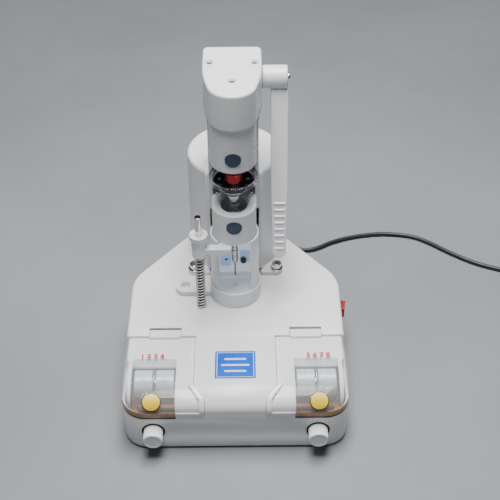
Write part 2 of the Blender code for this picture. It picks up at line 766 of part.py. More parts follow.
def make_bay(side, label, root):
    """One notching bay: cover, frame, tray, rollers, disc, motor and front knob."""
    frame = piece(
        f"bay_frame_{label}",
        prism(bay_outline(side, BAY_GAP), BAY_SEAT_Z + GAP, DECK_Z + OVERRUN),
        WHITE,
        root,
    )
    outer = COVER_THICK + GAP
    keep(frame, moulding(outer, FOOT_HEIGHT))
    cut(frame, moulding(outer + FRAME_THICK, FOOT_HEIGHT - OVERRUN))
    window = (-OVERRUN, WINDOW_BACK_Y)
    cut(frame, block(span(side, WINDOW_X), window, (FOOT_HEIGHT, DECK_Z + OVERRUN)))

    full = block(span(side, TRAY_X), TRAY_Y, (TRAY_FLOOR_Z, DECK_Z))
    tray = piece(f"chip_tray_{label}", full, COPPER, root)
    keep(tray, moulding(outer + FRAME_THICK + GAP, FOOT_HEIGHT))
    inner_x = span(side, (TRAY_X[0] + TRAY_WALL, TRAY_X[1] - TRAY_WALL))
    inner_y = (TRAY_Y[0] + TRAY_WALL, TRAY_Y[1] - TRAY_WALL)
    cut(tray, block(inner_x, inner_y, (TRAY_FLOOR_Z + TRAY_WALL, DECK_Z + OVERRUN)))
    shaft_at = (0, ROLLER_Y, ROLLER_Z)
    ends = span(side, (TRAY_X[0] - OVERRUN, TRAY_X[1] + OVERRUN))
    cut(tray, cylinder(shaft_at, "X", SPINDLE_BORE_R, *ends, SMALL))

    hinge = pivot(f"hinge_{label}", (side * (HINGE_X[0] + HINGE_X[1]) / 2, HINGE_Y, HINGE_Z), root)
    cover = piece(
        f"bay_cover_{label}",
        prism(bay_outline(side, BAY_GAP), BAY_SEAT_Z + BAY_GAP, DECK_Z + OVERRUN),
        CLEAR,
        hinge,
    )
    keep(cover, moulding(0, FOOT_HEIGHT))
    cut(cover, moulding(COVER_THICK, FOOT_HEIGHT - OVERRUN))
    tab = block(span(side, HINGE_X), (BAY_BACK_Y - OVERRUN, HINGE_Y), (DECK_Z - COVER_THICK, DECK_Z))
    add(cover, tab)
    add(cover, cylinder(hinge["place"], "X", HINGE_R, *span(side, HINGE_X), SMALL))
    pins = span(side, (HINGE_X[0] - HINGE_PIN_LENGTH, HINGE_X[1] + HINGE_PIN_LENGTH))
    add(cover, cylinder(hinge["place"], "X", HINGE_PIN_R, *pins, TINY))

    axle = pivot(f"notch_axis_{label}", (side * ROLLER_X[1], ROLLER_Y, ROLLER_Z), root)
    a, b, c, d = ROLLER_X
    edge = KNOB_EDGE
    profile = [
        (SPINDLE_R, SPINDLE_X[0]),
        (SPINDLE_R, a),
        (ROLLER_R - edge, a),
        (ROLLER_R, a + edge),
        (ROLLER_R, b - edge),
        (ROLLER_R - edge, b),
        (ROLLER_CORE_R, b),
        (ROLLER_CORE_R, c),
        (ROLLER_R - edge, c),
        (ROLLER_R, c + edge),
        (ROLLER_R, d - edge),
        (ROLLER_R - edge, d),
        (SPINDLE_R, d),
        (SPINDLE_R, SPINDLE_X[1]),
    ]
    profile = [(radius, side * x) for radius, x in profile]
    piece(f"guide_rollers_{label}", turned(profile, shaft_at, "X", ROUND), NYLON, axle)
    middle = (b + c) / 2
    faces = span(side, (middle - DISC_THICK / 2, middle + DISC_THICK / 2))
    disc = tube(shaft_at, "X", DISC_R, ROLLER_CORE_R + GAP, *faces, ROUND)
    piece(f"notch_disc_{label}", disc, STEEL, axle)

    near, far = MOTOR_X
    nose_end = TRAY_X[0] - GAP
    profile = [
        (MOTOR_R - edge, near),
        (MOTOR_R, near + edge),
        (MOTOR_R, far - edge),
        (MOTOR_R - edge, far),
        (MOTOR_NOSE_R, far),
        (MOTOR_NOSE_R, nose_end),
        (SPINDLE_BORE_R, nose_end),
        (SPINDLE_BORE_R, nose_end - MOTOR_BORE_DEPTH),
    ]
    profile = [(radius, side * x) for radius, x in profile]
    piece(f"notch_motor_{label}", turned(profile, shaft_at, "X", ROUND), STEEL, root)

    turn = pivot(f"knob_axis_{label}", (side * KNOB_X, 0, KNOB_Z), root)
    profile = [
        (KNOB_R - edge, -KNOB_OUT),
        (KNOB_R, -KNOB_OUT + edge),
        (KNOB_R, KNOB_IN),
        (KNOB_SHAFT_R, KNOB_IN),
        (KNOB_SHAFT_R, KNOB_SHAFT_END_Y),
    ]
    piece(f"front_knob_{label}", turned(profile, turn["place"], "Y", ROUND), WHITE, turn)


def make_switch(root):
    """Rocker switch: bezel and body in one, and the rocker that tips in it."""
    wall = BASE_HALF_WIDTH
    face = wall + GAP + BEZEL_THICK
    ys = (SWITCH_Y[0] + GAP, SWITCH_Y[1] - GAP)
    zs = (SWITCH_Z[0] + GAP, SWITCH_Z[1] - GAP)
    body = piece("switch_body", block((wall - SWITCH_BODY_DEPTH, face), ys, zs), BLACK, root)
    bezel_y = (SWITCH_Y[0] - BEZEL_RIM, SWITCH_Y[1] + BEZEL_RIM)
    bezel_z = (SWITCH_Z[0] - BEZEL_RIM, SWITCH_Z[1] + BEZEL_RIM)
    add(body, block((wall + GAP, face), bezel_y, bezel_z))
    well_y = (ys[0] + SWITCH_WALL, ys[1] - SWITCH_WALL)
    well_z = (zs[0] + SWITCH_WALL, zs[1] - SWITCH_WALL)
    cut(body, block((face - WELL_DEPTH, face + OVERRUN), well_y, well_z))

    middle = (ys[0] + ys[1]) / 2
    near, far = well_y[0] + RUNNING_GAP, well_y[1] - RUNNING_GAP
    axis = pivot("rocker_axis", (face - ROCKER_PIVOT_DEPTH, middle, (zs[0] + zs[1]) / 2), root)
    top = wall + SWITCH_OUT
    outline = [
        (top, far - ROCKER_DRAFT),
        (top - ROCKER_RISE / 2 - ROCKER_DIP, middle),
        (top - ROCKER_RISE, near + ROCKER_DRAFT),
        (face - ROCKER_SEAT_DEPTH - ROCKER_RISE / 2, near),
        (face - ROCKER_KEEL_DEPTH, middle),
        (face - ROCKER_SEAT_DEPTH + ROCKER_RISE / 2, far),
    ]
    piece("switch_rocker", prism(outline, well_z[0] + GAP, well_z[1] - GAP), RED, axis)


def make_work_place(root):
    """Collar with its ear on the deck, pad, open column, panel and the panel's knob."""
    centre = (0, DRILL_Y, 0)
    low = DECK_Z + GAP
    floor = low + COLLAR_FLOOR
    profile = [
        (COLLAR_R, low),
        (COLLAR_R, COLLAR_TOP_Z),
        (COLLAR_BORE_R, COLLAR_TOP_Z),
        (COLLAR_BORE_R, floor),
        (COLLAR_CENTRE_HOLE_R, floor),
        (COLLAR_CENTRE_HOLE_R, low),
    ]
    collar = piece("work_collar", turned(profile, centre, "Z", FINE, bored=True), WHITE, root)
    x, y = EAR_PLATE_AT
    outline = arc((x, y), EAR_PLATE_R, 90, 270, 2 * ARC_STEPS)
    outline += [(-EAR_JOIN_X, y - EAR_PLATE_R), (-EAR_JOIN_X, y + EAR_PLATE_R)]
    ear = prism(outline, low, low + EAR_PLATE_THICK)
    add(collar, ear)
    cut(collar, cylinder((x, y, 0), "Z", EAR_HOLE_R, low - OVERRUN, low + EAR_PLATE_THICK + OVERRUN, SMALL))
    cut(collar, cylinder(centre, "Z", COLLAR_BORE_R, floor, COLLAR_TOP_Z + OVERRUN, FINE))

    seat = floor + GAP
    top = CHEEK_BOTTOM_Z - STROKE - STROKE_GAP
    column = piece("drill_column", tube(centre, "Z", COLUMN_R, COLUMN_BORE_R, seat, top, FINE), WHITE, root)
    opening = (-COLUMN_OPEN_HALF_WIDTH, COLUMN_OPEN_HALF_WIDTH)
    front = (DRILL_Y - COLUMN_R - OVERRUN, DRILL_Y)
    cut(column, block(opening, front, (COLUMN_LIP_Z, top + OVERRUN)))

    piece("work_pad", tube(centre, "Z", PAD_R, PAD_HOLE_R, seat, PAD_TOP_Z, FINE), NYLON, root)
    panel_y = (PANEL_Y, PANEL_Y + PANEL_THICK)
    panel_x = (-PANEL_HALF_WIDTH, PANEL_HALF_WIDTH)
    panel_z = (PAD_TOP_Z + GAP, NOSE_Z[0] - STROKE - STROKE_GAP)
    panel = piece("column_panel", block(panel_x, panel_y, panel_z), WHITE, root)
    x, z = PANEL_KNOB_AT
    stem_end = PANEL_Y + PANEL_THICK
    bore = PANEL_KNOB_STEM_R + GAP
    cut(panel, cylinder((x, 0, z), "Y", bore, PANEL_Y - OVERRUN, stem_end + OVERRUN, TINY))
    profile = [
        (PANEL_KNOB_R - KNOB_EDGE, PANEL_Y - PANEL_KNOB_OUT),
        (PANEL_KNOB_R, PANEL_Y - PANEL_KNOB_OUT + KNOB_EDGE),
        (PANEL_KNOB_R, PANEL_Y - GAP),
        (PANEL_KNOB_STEM_R, PANEL_Y - GAP),
        (PANEL_KNOB_STEM_R, stem_end),
    ]
    piece("panel_knob", turned(profile, (x, 0, z), "Y", SMALL), NAVY, root)


def make_housing(root):
    """Rear housing with its foot flange, two bolts, transformer and the slide's fixed pieces."""
    low = DECK_Z + GAP
    flange_top = low + FLANGE_THICK
    half = FLANGE_HALF_WIDTH
    corners = [(-half, FLANGE_FRONT_Y), (half, FLANGE_FRONT_Y), (half, HOUSING_Y), (-half, HOUSING_Y)]
    plan = rounded(corners, [FLANGE_CORNER_R, FLANGE_CORNER_R, GAP, GAP], ARC_STEPS)
    housing = piece("rear_housing", prism(plan, low, flange_top), WHITE, root)
    centre = (0, HOUSING_Y, 0)
    add(housing, cylinder(centre, "Z", FLANGE_BACK_R, low, flange_top, FINE))
    edge = HOUSING_EDGE_R
    profile = [(HOUSING_R, low)]
    for radius, height in arc((HOUSING_TOP_R - edge, HOUSING_TOP_Z - edge), edge, 0, 90, ARC_STEPS):
        profile.append((radius, height))
    add(housing, turned(profile, centre, "Z", FINE))
    top = HOUSING_TOP_Z - SKIN
    profile = [
        (HOUSING_R - SKIN, low - OVERRUN),
        (HOUSING_TOP_R - SKIN, top - edge),
        (HOUSING_TOP_R - edge, top),
    ]
    cut(housing, turned(profile, centre, "Z", FINE))
    slot_x = (-SLOT_HALF_WIDTH, SLOT_HALF_WIDTH)
    slot_y = (min(FLANGE_FRONT_Y, HOUSING_Y - max(HOUSING_R, HOUSING_TOP_R)) - OVERRUN, SLOT_BACK_Y)
    cut(housing, block(slot_x, slot_y, (low - OVERRUN, HOUSING_TOP_Z + OVERRUN)))
    for side, label in ((-1, "left"), (1, "right")):
        x, y = side * BOLT_AT[0], BOLT_AT[1]
        hole = cylinder((x, y, 0), "Z", BOLT_SHANK_R + GAP, low - OVERRUN, flange_top + OVERRUN, SMALL)
        cut(housing, hole)
        washer_low = flange_top + GAP
        washer_top = washer_low + BOLT_WASHER_THICK
        head_top = washer_top + BOLT_HEAD_HEIGHT
        profile = [
            (BOLT_SHANK_R, low),
            (BOLT_SHANK_R, washer_low),
            (BOLT_WASHER_R, washer_low),
            (BOLT_WASHER_R, washer_top),
            (BOLT_HEAD_R, washer_top),
            (BOLT_HEAD_R, head_top - KNOB_EDGE),
            (BOLT_HEAD_R - KNOB_EDGE, head_top),
            (BOLT_SOCKET_R, head_top),
            (BOLT_SOCKET_R, head_top - BOLT_SOCKET_DEPTH),
        ]
        piece(f"housing_bolt_{label}", turned(profile, (x, y, 0), "Z", SMALL), CHROME, root)

    core_x = (-CORE_HALF_WIDTH, CORE_HALF_WIDTH)
    core = piece("transformer", block(core_x, CORE_Y, (low, low + CORE_HEIGHT)), STEEL, root)
    winding_x = (-WINDING_HALF_WIDTH, WINDING_HALF_WIDTH)
    winding_y = (CORE_Y[0] - WINDING_OUT, CORE_Y[1] + WINDING_OUT)
    spare = (CORE_HEIGHT - WINDING_HEIGHT) / 2
    add(core, block(winding_x, winding_y, (low + spare, low + CORE_HEIGHT - spare)))

    slide_x = (-SLIDE_HALF_WIDTH, SLIDE_HALF_WIDTH)
    slide = piece("slide_base", block(slide_x, SLIDE_Y, (low, low + SLIDE_HEIGHT)), ALUMINIUM, root)
    slot = RACK_HALF_WIDTH + GAP
    deep = (SLIDE_Y[0] - OVERRUN, PIVOT_Y - PITCH_R + TOOTH_OUT + GAP)
    cut(slide, block((-slot, slot), deep, (low - OVERRUN, low + SLIDE_HEIGHT + OVERRUN)))
    for side, label in ((-1, "left"), (1, "right")):
        at = (side * ROD_X, ROD_Y, 0)
        cut(slide, cylinder(at, "Z", ROD_R + GAP, low - OVERRUN, low + SLIDE_HEIGHT + OVERRUN, ROUND))
        rod = bevelled(at, "Z", ROD_R, low, ROD_TOP_Z, KNOB_EDGE, SMALL)
        piece(f"guide_rod_{label}", rod, STEEL, root)
    make_rack(root, low)


def make_rack(root, low):
    """Steel post with a short row of teeth behind its top, facing the pinion."""
    pitch = 2 * math.pi * PITCH_R / TEETH
    pitch_y = PIVOT_Y - PITCH_R
    root_y = pitch_y - TOOTH_IN
    top = CAP_Z[1] - CAP_WALL - STROKE - STROKE_GAP
    outline = [(RACK_BACK_Y, low), (root_y, low)]
    first = PIVOT_Z - pitch * (RACK_TEETH - 2)
    for i in range(RACK_TEETH):
        z = first + pitch * i
        for across, y in (
            (-TOOTH_ROOT_WIDTH, root_y),
            (-TOOTH_TIP_WIDTH, pitch_y + TOOTH_OUT),
            (TOOTH_TIP_WIDTH, pitch_y + TOOTH_OUT),
            (TOOTH_ROOT_WIDTH, root_y),
        ):
            outline.append((y, z + across / 2))
    outline += [(root_y, top), (RACK_BACK_Y, top)]
    bar = prism(outline, -RACK_HALF_WIDTH, RACK_HALF_WIDTH, "X")
    piece("rack_post", bar, STEEL, root)


def make_carriage(carriage):
    """The sliding head: C-shaped frame, covers, plugs, motor, bearing, guard and bracket."""
    low, high = CHEEK_BOTTOM_Z, CHEEK_TOP_Z
    between = (-(CHEEK_IN_X + SKIN / 2), CHEEK_IN_X + SKIN / 2)
    frame = piece("head_frame", block(between, FRONT_PLATE_Y, (low, high)), WHITE, carriage)
    for side in (-1, 1):
        sides = span(side, (CHEEK_IN_X, CHEEK_OUT_X))
        add(frame, block(sides, CHEEK_Y, (low, high)))
        add(frame, block(sides, CHEEK_EAR_Y, (high - SKIN, CHEEK_EAR_TOP_Z)))
        bottom, top = SHOULDER_Z
        inner = (CHEEK_IN_X + CHEEK_OUT_X) / 2
        outline = [
            (side * inner, bottom),
            (side * CHEEK_OUT_X, bottom),
            (side * SHOULDER_OUT_X, bottom + SHOULDER_RISE),
            (side * SHOULDER_OUT_X, top),
            (side * inner, top),
        ]
        add(frame, prism(outline, SHOULDER_Y, CHEEK_Y[1], "Y"))
    for z in (LOWER_BRIDGE_Z, UPPER_BRIDGE_Z):
        back = CHEEK_Y[1] - SKIN
        add(frame, block(between, (FRONT_PLATE_Y[1] - SKIN / 2, back), (z + GAP, z + BRIDGE_HEIGHT)))
    centre = (0, DRILL_Y, 0)
    add(frame, cylinder(centre, "Z", NOSE_R, *NOSE_Z, FINE))
    neck_y = (DRILL_Y, FRONT_PLATE_Y[0] + SKIN / 2)
    add(frame, block((-NOSE_R, NOSE_R), neck_y, (NOSE_NECK_Z, NOSE_Z[1])))
    rack_slot = (-RACK_HALF_WIDTH - RUNNING_GAP, RACK_HALF_WIDTH + RUNNING_GAP)
    slot_y = (FRONT_PLATE_Y[1], PIVOT_Y - PITCH_R + TOOTH_OUT + RUNNING_GAP)
    cut(frame, block(rack_slot, slot_y, (low - OVERRUN, UPPER_BRIDGE_Z + BRIDGE_HEIGHT + OVERRUN)))
    for side in (-1, 1):
        at = (side * ROD_X, ROD_Y, 0)
        bore = ROD_R + GAP
        cut(frame, cylinder(at, "Z", bore, low - OVERRUN, UPPER_BRIDGE_Z + BRIDGE_HEIGHT + OVERRUN, ROUND))
    recess = [
        (RECESS_R, RECESS_FLOOR_Z),
        (RECESS_R, NOSE_Z[1] - RECESS_RIM_DEPTH),
        (RECESS_RIM_R, NOSE_Z[1] - RECESS_RIM_DEPTH),
        (RECESS_RIM_R, NOSE_Z[1] + OVERRUN),
    ]
    cut(frame, turned(recess, centre, "Z", FINE))
    cut(frame, cylinder(centre, "Z", NOSE_HOLE_R, NOSE_Z[0] - OVERRUN, RECESS_FLOOR_Z + OVERRUN, SMALL))
    lower_face = DRILL_Y - NOSE_R
    hole = cylinder((0, 0, LOWER_PLUG_Z), "Y", PLUG_HOLE_R, lower_face - OVERRUN, lower_face + PLUG_IN, ROUND)
    cut(frame, hole)
    reach = CHEEK_OUT_X + OVERRUN
    shaft_hole = cylinder((0, PIVOT_Y, PIVOT_Z), "X", LEVER_SHAFT_R + GAP, -reach, reach, SMALL)
    cut(frame, shaft_hole)

    outer = arc((0, DRILL_Y), COVER_R, 180, 360, 4 * ARC_STEPS)
    inner = arc((0, DRILL_Y), COVER_R - COVER_WALL, 360, 180, 4 * ARC_STEPS)
    back = CHEEK_Y[0] - GAP
    outline = [(-COVER_R, back)] + outer + [(COVER_R, back), (COVER_R - COVER_WALL, back)]
    outline += inner + [(-COVER_R + COVER_WALL, back)]
    cover = piece("head_cover", prism(outline, *COVER_Z), WHITE, carriage)
    upper_face = DRILL_Y - COVER_R
    through = (upper_face - OVERRUN, upper_face + PLUG_IN)
    cut(cover, cylinder((0, 0, UPPER_PLUG_Z), "Y", PLUG_HOLE_R, *through, ROUND))
    for name, face, z in (("upper_plug", upper_face, UPPER_PLUG_Z), ("lower_plug", lower_face, LOWER_PLUG_Z)):
        near, far = face - PLUG_OUT, face + PLUG_IN - GAP
        profile = [(PLUG_R - PLUG_OUT, near), (PLUG_R, near + PLUG_OUT), (PLUG_R, far)]
        piece(name, turned(profile, (0, 0, z), "Y", ROUND), NAVY, carriage)

    make_cap(carriage)
    back_x = (-BACK_COVER_HALF_WIDTH, BACK_COVER_HALF_WIDTH)
    back_y = (CHEEK_Y[1] + GAP, CHEEK_Y[1] + GAP + BACK_COVER_THICK)
    piece("back_cover", block(back_x, back_y, (low, CAP_Z[0] - GAP)), WHITE, carriage)

    near, far = DRILL_MOTOR_Z
    edge = DRILL_MOTOR_EDGE
    profile = [
        (SHAFT_BORE_R, near + DRILL_MOTOR_BORE_DEPTH),
        (SHAFT_BORE_R, near),
        (DRILL_MOTOR_R - edge, near),
        (DRILL_MOTOR_R, near + edge),
        (DRILL_MOTOR_R, far - edge),
        (DRILL_MOTOR_R - edge, far),
    ]
    motor = piece("drill_motor", turned(profile, centre, "Z", ROUND), STEEL, carriage)
    foot = (-DRILL_MOTOR_FOOT_HALF_WIDTH, DRILL_MOTOR_FOOT_HALF_WIDTH)
    foot_y = (DRILL_Y + DRILL_MOTOR_R / 2, FRONT_PLATE_Y[0] - GAP)
    add(motor, block(foot, foot_y, (near, near + DRILL_MOTOR_FOOT_HEIGHT)))
    plate_z = MOTOR_PLATE_Z
    plate = piece("motor_plate", cylinder(centre, "Z", MOTOR_PLATE_R, *plate_z, FINE), BLACK, carriage)
    tail = (-MOTOR_PLATE_TAIL_HALF_WIDTH, MOTOR_PLATE_TAIL_HALF_WIDTH)
    add(plate, block(tail, (DRILL_Y + MOTOR_PLATE_R / 2, FRONT_PLATE_Y[0] - GAP), plate_z))
    cut_z = (plate_z[0] - OVERRUN, plate_z[1] + OVERRUN)
    slot_r = COUPLING_TOP_R + COUPLING_SPACE
    front = DRILL_Y - MOTOR_PLATE_R - OVERRUN
    across = (-MOTOR_PLATE_R - OVERRUN, MOTOR_PLATE_R + OVERRUN)
    cut(plate, block(across, (front, DRILL_Y - MOTOR_PLATE_EAR_REACH), cut_z))
    cut(plate, cylinder(centre, "Z", slot_r, *cut_z, SMALL))
    cut(plate, block((-slot_r, slot_r), (front, DRILL_Y), cut_z))

    base, middle, neck, top = SLEEVE_STEPS_Z
    seat = RECESS_FLOOR_Z + GAP
    profile = [
        (SLEEVE_FLANGE_R, seat),
        (SLEEVE_FLANGE_R, base),
        (SLEEVE_R, base),
        (SLEEVE_R, middle),
        (SLEEVE_NECK_R, middle),
        (SLEEVE_NECK_R, neck),
        (SLEEVE_TOP_R, neck),
        (SLEEVE_TOP_R, top),
        (SHAFT_BORE_R, top),
        (SHAFT_BORE_R, seat),
    ]
    piece("bearing_sleeve", turned(profile, centre, "Z", ROUND, bored=True), STEEL, carriage)

    guard = piece("guard_ring", tube(centre, "Z", GUARD_R[1], GUARD_R[0], *GUARD_Z, FINE), CLEAR, carriage)
    ring_back = DRILL_Y + (GUARD_R[0] + GUARD_R[1]) / 2
    tab = (-GUARD_TAB_HALF_WIDTH, GUARD_TAB_HALF_WIDTH)
    add(guard, block(tab, (ring_back, FRONT_PLATE_Y[0] - GAP), GUARD_Z))

    x, y = STOP_AT
    sleeve = cylinder((x, y, 0), "Z", STOP_SLEEVE_R, *STOP_SLEEVE_Z, ROUND)
    bracket = piece("stop_bracket", sleeve, WHITE, carriage)
    add(bracket, block((x, STOP_ARM_END_X), STOP_ARM_Y, STOP_ARM_Z))
    pad = (STOP_ARM_Y[1] - SKIN / 2, STOP_PAD_BACK_Y)
    add(bracket, block((STOP_PAD_START_X, STOP_ARM_END_X), pad, STOP_ARM_Z))
    ends = (STOP_SLEEVE_Z[0] - OVERRUN, STOP_SLEEVE_Z[1] + OVERRUN)
    cut(bracket, cylinder((x, y, 0), "Z", STOP_BORE_R, *ends, SMALL))


def cap_outline(draw):
    """Plan of the head cap: half round in front, widening to the back."""
    tangent = math.degrees(math.atan2(CAP_HALF_WIDTH - CAP_FRONT_R, CAP_TAPER_Y - CAP_FRONT_Y))
    front = arc((0, CAP_FRONT_Y), CAP_FRONT_R - draw, 180 + tangent, 360 - tangent, 3 * ARC_STEPS)
    side = CAP_HALF_WIDTH - draw
    back = CAP_BACK_Y - draw
    corner = CAP_CORNER_R - draw
    right = [(side, CAP_TAPER_Y)] + arc((side - corner, back - corner), corner, 0, 90, ARC_STEPS)
    left = arc((-side + corner, back - corner), corner, 90, 180, ARC_STEPS) + [(-side, CAP_TAPER_Y)]
    return front + right + left


def make_cap(carriage):
    """Hollow white cap over the lever shaft, its top edge rounded."""
    low, high = CAP_Z
    rings = [[(x, y, low) for x, y in cap_outline(0)]]
    for i in range(ARC_STEPS):
        turn = math.pi / 2 * i / (ARC_STEPS - 1)
        draw = CAP_EDGE_R * (1 - math.cos(turn))
        z = high - CAP_EDGE_R + CAP_EDGE_R * math.sin(turn)
        rings.append([(x, y, z) for x, y in cap_outline(draw)])
    cap = piece("head_cap", loft(rings), WHITE, carriage)
    cut(cap, prism(cap_outline(CAP_WALL), low - OVERRUN, high - CAP_WALL))
    ends = (SHOULDER_OUT_X - CAP_WALL - OVERRUN, SHOULDER_OUT_X + OVERRUN)
    cut(cap, cylinder((0, PIVOT_Y, PIVOT_Z), "X", CAP_SHAFT_HOLE_R, *ends, SMALL))


def make_spindle(spin):
    """Spindle shaft with its disc, red coupling, collet and drill bit."""
    centre = spin["place"]
    bottom, top = SHAFT_Z
    disc_low, disc_high = SHAFT_DISC_Z
    profile = [
        (BIT_BORE_R, bottom),
        (SHAFT_NOSE_R, bottom),
        (SHAFT_NOSE_R, SHAFT_NOSE_TOP_Z),
        (SHAFT_R, SHAFT_NOSE_TOP_Z),
        (SHAFT_R, disc_low),
        (SHAFT_DISC_R, disc_low),
        (SHAFT_DISC_R, disc_high),
        (SHAFT_R, disc_high),
        (SHAFT_R, top),
    ]
    piece("spindle_shaft", turned(profile, centre, "Z", ROUND), STEEL, spin)
    low, step, high = COUPLING_Z
    profile = [
        (COUPLING_R - BIT_R, low),
        (COUPLING_R, low + BIT_R),
        (COUPLING_R, step),
        (COUPLING_TOP_R, step),
        (COUPLING_TOP_R, high),
        (SHAFT_R + GAP, high),
        (SHAFT_R + GAP, low),
    ]
    piece("shaft_coupling", turned(profile, centre, "Z", ROUND, bored=True), RED, spin)
    tip, shoulder, top = COLLET_Z
    profile = [
        (COLLET_TIP_R, tip),
        (COLLET_R, shoulder),
        (COLLET_R, top),
        (BIT_BORE_R, top),
        (BIT_BORE_R, tip),
    ]
    piece("collet", turned(profile, centre, "Z", SMALL, bored=True), COLLET_TONE, spin)
    tip, shoulder, top = BIT_Z
    profile = [(BIT_POINT_R, tip), (BIT_R, shoulder), (BIT_R, top)]
    piece("drill_bit", turned(profile, centre, "Z", TINY), STEEL, spin)


def make_lever(turn):
    """Pull lever with its hub, the pinion shaft it turns, and its end screw."""
    centre = turn["place"]
    left, right = HUB_X
    profile = [
        (LEVER_SHAFT_R + GAP, HUB_BORE_END_X),
        (LEVER_SHAFT_R + GAP, left),
        (HUB_R - HUB_EDGE, left),
        (HUB_R, left + HUB_EDGE),
        (HUB_R, right - HUB_EDGE),
        (HUB_R - HUB_EDGE, right),
        (LEVER_SCREW_STEM_R + GAP, right),
        (LEVER_SCREW_STEM_R + GAP, HUB_BORE_END_X),
    ]
    lever = piece("lever", turned(profile, centre, "X", ROUND, bored=True), WHITE, turn)
    x0, x1 = ARM_X
    middle = (x0 + x1) / 2
    half = (x1 - x0) / 2
    end = ARM_END_HALF_WIDTH
    outline = [(middle - half, -HUB_R / 2), (middle - half, -ARM_GRIP_START)]
    tip = -ARM_LENGTH + end
    outline += arc((middle, tip), end, 180, 360, ARC_STEPS)
    outline += [(middle + half, -ARM_GRIP_START), (middle + half, -HUB_R / 2)]
    arm = bmesh.new()
    inner = ARM_THICK / 2 - ARM_EDGE
    shrink = 1 - 2 * ARM_EDGE / (x1 - x0)
    rings = []
    for y, share in ((-ARM_THICK / 2, shrink), (-inner, 1), (inner, 1), (ARM_THICK / 2, shrink)):
        rings.append([(middle + (x - middle) * share, y, z) for x, z in outline])
    skinned(arm, rings, False)
    tilt = Matrix.Rotation(-math.radians(LEVER_TILT_DEG), 4, "X")
    arm.transform(Matrix.Translation(Vector((0, PIVOT_Y, PIVOT_Z))) @ tilt)
    bore = cylinder(centre, "X", LEVER_SHAFT_R + GAP, left - OVERRUN, HUB_BORE_END_X, SMALL)
    add(lever, arm)
    cut(lever, bore)

    bar = cylinder(centre, "X", LEVER_SHAFT_R, -CHEEK_OUT_X, HUB_BORE_END_X - GAP, SMALL)
    shaft = piece("pinion_shaft", bar, STEEL, turn)
    add(shaft, pinion())

    near = right + GAP
    profile = [
        (LEVER_SCREW_STEM_R, HUB_BORE_END_X + GAP),
        (LEVER_SCREW_STEM_R, near),
        (LEVER_SCREW_R, near),
        (LEVER_SCREW_R, near + LEVER_SCREW_OUT / 2),
        (LEVER_SCREW_R / 2, near + LEVER_SCREW_OUT),
    ]
    piece("lever_screw", turned(profile, centre, "X", SMALL), CHROME, turn)


def pinion():
    """A straight gear whose tooth gap faces the rack."""
    outline = []
    step = 2 * math.pi / TEETH
    for i in range(TEETH):
        middle = math.pi + step * (i + 1 / 2)
        for across, out in (
            (-TOOTH_ROOT_WIDTH, -TOOTH_IN),
            (-TOOTH_TIP_WIDTH, TOOTH_OUT),
            (TOOTH_TIP_WIDTH, TOOTH_OUT),
            (TOOTH_ROOT_WIDTH, -TOOTH_IN),
        ):
            radius = PITCH_R + out
            turn = middle + across / 2 / radius
            outline.append((PIVOT_Y + radius * math.cos(turn), PIVOT_Z + radius * math.sin(turn)))
    return prism(outline, -PINION_HALF_WIDTH, PINION_HALF_WIDTH, "X")


def make_stop(root, nut_axis):
    """Stop rod on the deck, nut on it, and the return spring round it."""
    low = DECK_Z + GAP
    rod = bevelled((*STOP_AT, 0), "Z", STOP_ROD_R, low, STOP_ROD_TOP_Z, STOP_NUT_EDGE, SMALL)
    piece("stop_rod", rod, CHROME, root)
    near = STOP_SLEEVE_Z[1] + GAP
    far = near + STOP_NUT_HEIGHT
    edge = STOP_NUT_EDGE
    profile = [
        (STOP_NUT_R - edge, near),
        (STOP_NUT_R, near + edge),
        (STOP_NUT_R, far - edge),
        (STOP_NUT_R - edge, far),
        (STOP_NUT_BORE_R, far),
        (STOP_NUT_BORE_R, near),
    ]
    piece("stop_nut", turned(profile, (*STOP_AT, 0), "Z", ROUND, bored=True), WHITE, nut_axis)

    bottom = low + GAP + SPRING_WIRE_R
    top = STOP_SLEEVE_Z[0] - GAP - SPRING_WIRE_R
    points = []
    count = SPRING_CURLS * SPRING_POINTS
    for i in range(count + 1):
        turn = 2 * math.pi * i / SPRING_POINTS
        z = bottom + (top - bottom) * i / count
        x = STOP_AT[0] + SPRING_R * math.cos(turn)
        y = STOP_AT[1] + SPRING_R * math.sin(turn)
        points.append(Vector((x, y, z)))
    wire("return_spring", points, SPRING_WIRE_R, 1, CHROME, root)
    least = least_gap(points, SPRING_WIRE_R, SPRING_POINTS // 2)
    print(f"return_spring: least gap to itself {1000 * least:.2f} mm")


def wire(name, points, radius, resolution, finish, axis):
    """An unbroken round tube along points in the machine's frame."""
    curve = bpy.data.curves.new(name, "CURVE")
    curve.dimensions = "3D"
    curve.bevel_depth = radius
    curve.bevel_resolution = resolution
    curve.use_fill_caps = True
    spline = curve.splines.new("POLY")
    spline.points.add(len(points) - 1)
    seat = Vector(axis["place"])
    for knot, point in zip(spline.points, points):
        knot.co = (*(point - seat), 1.0)
    item = bpy.data.objects.new(name, curve)
    bpy.context.scene.collection.objects.link(item)
    item.parent = axis
    curve.materials.append(finish_of(name, finish))
    return item


def least_gap(points, radius, skip):
    """Least clear distance between parts of a wound tube that are more than skip points apart."""
    least = math.inf
    for i, point in enumerate(points):
        for other in points[i + skip + 1:]:
            least = min(least, (point - other).length)
    return least - 2 * radius


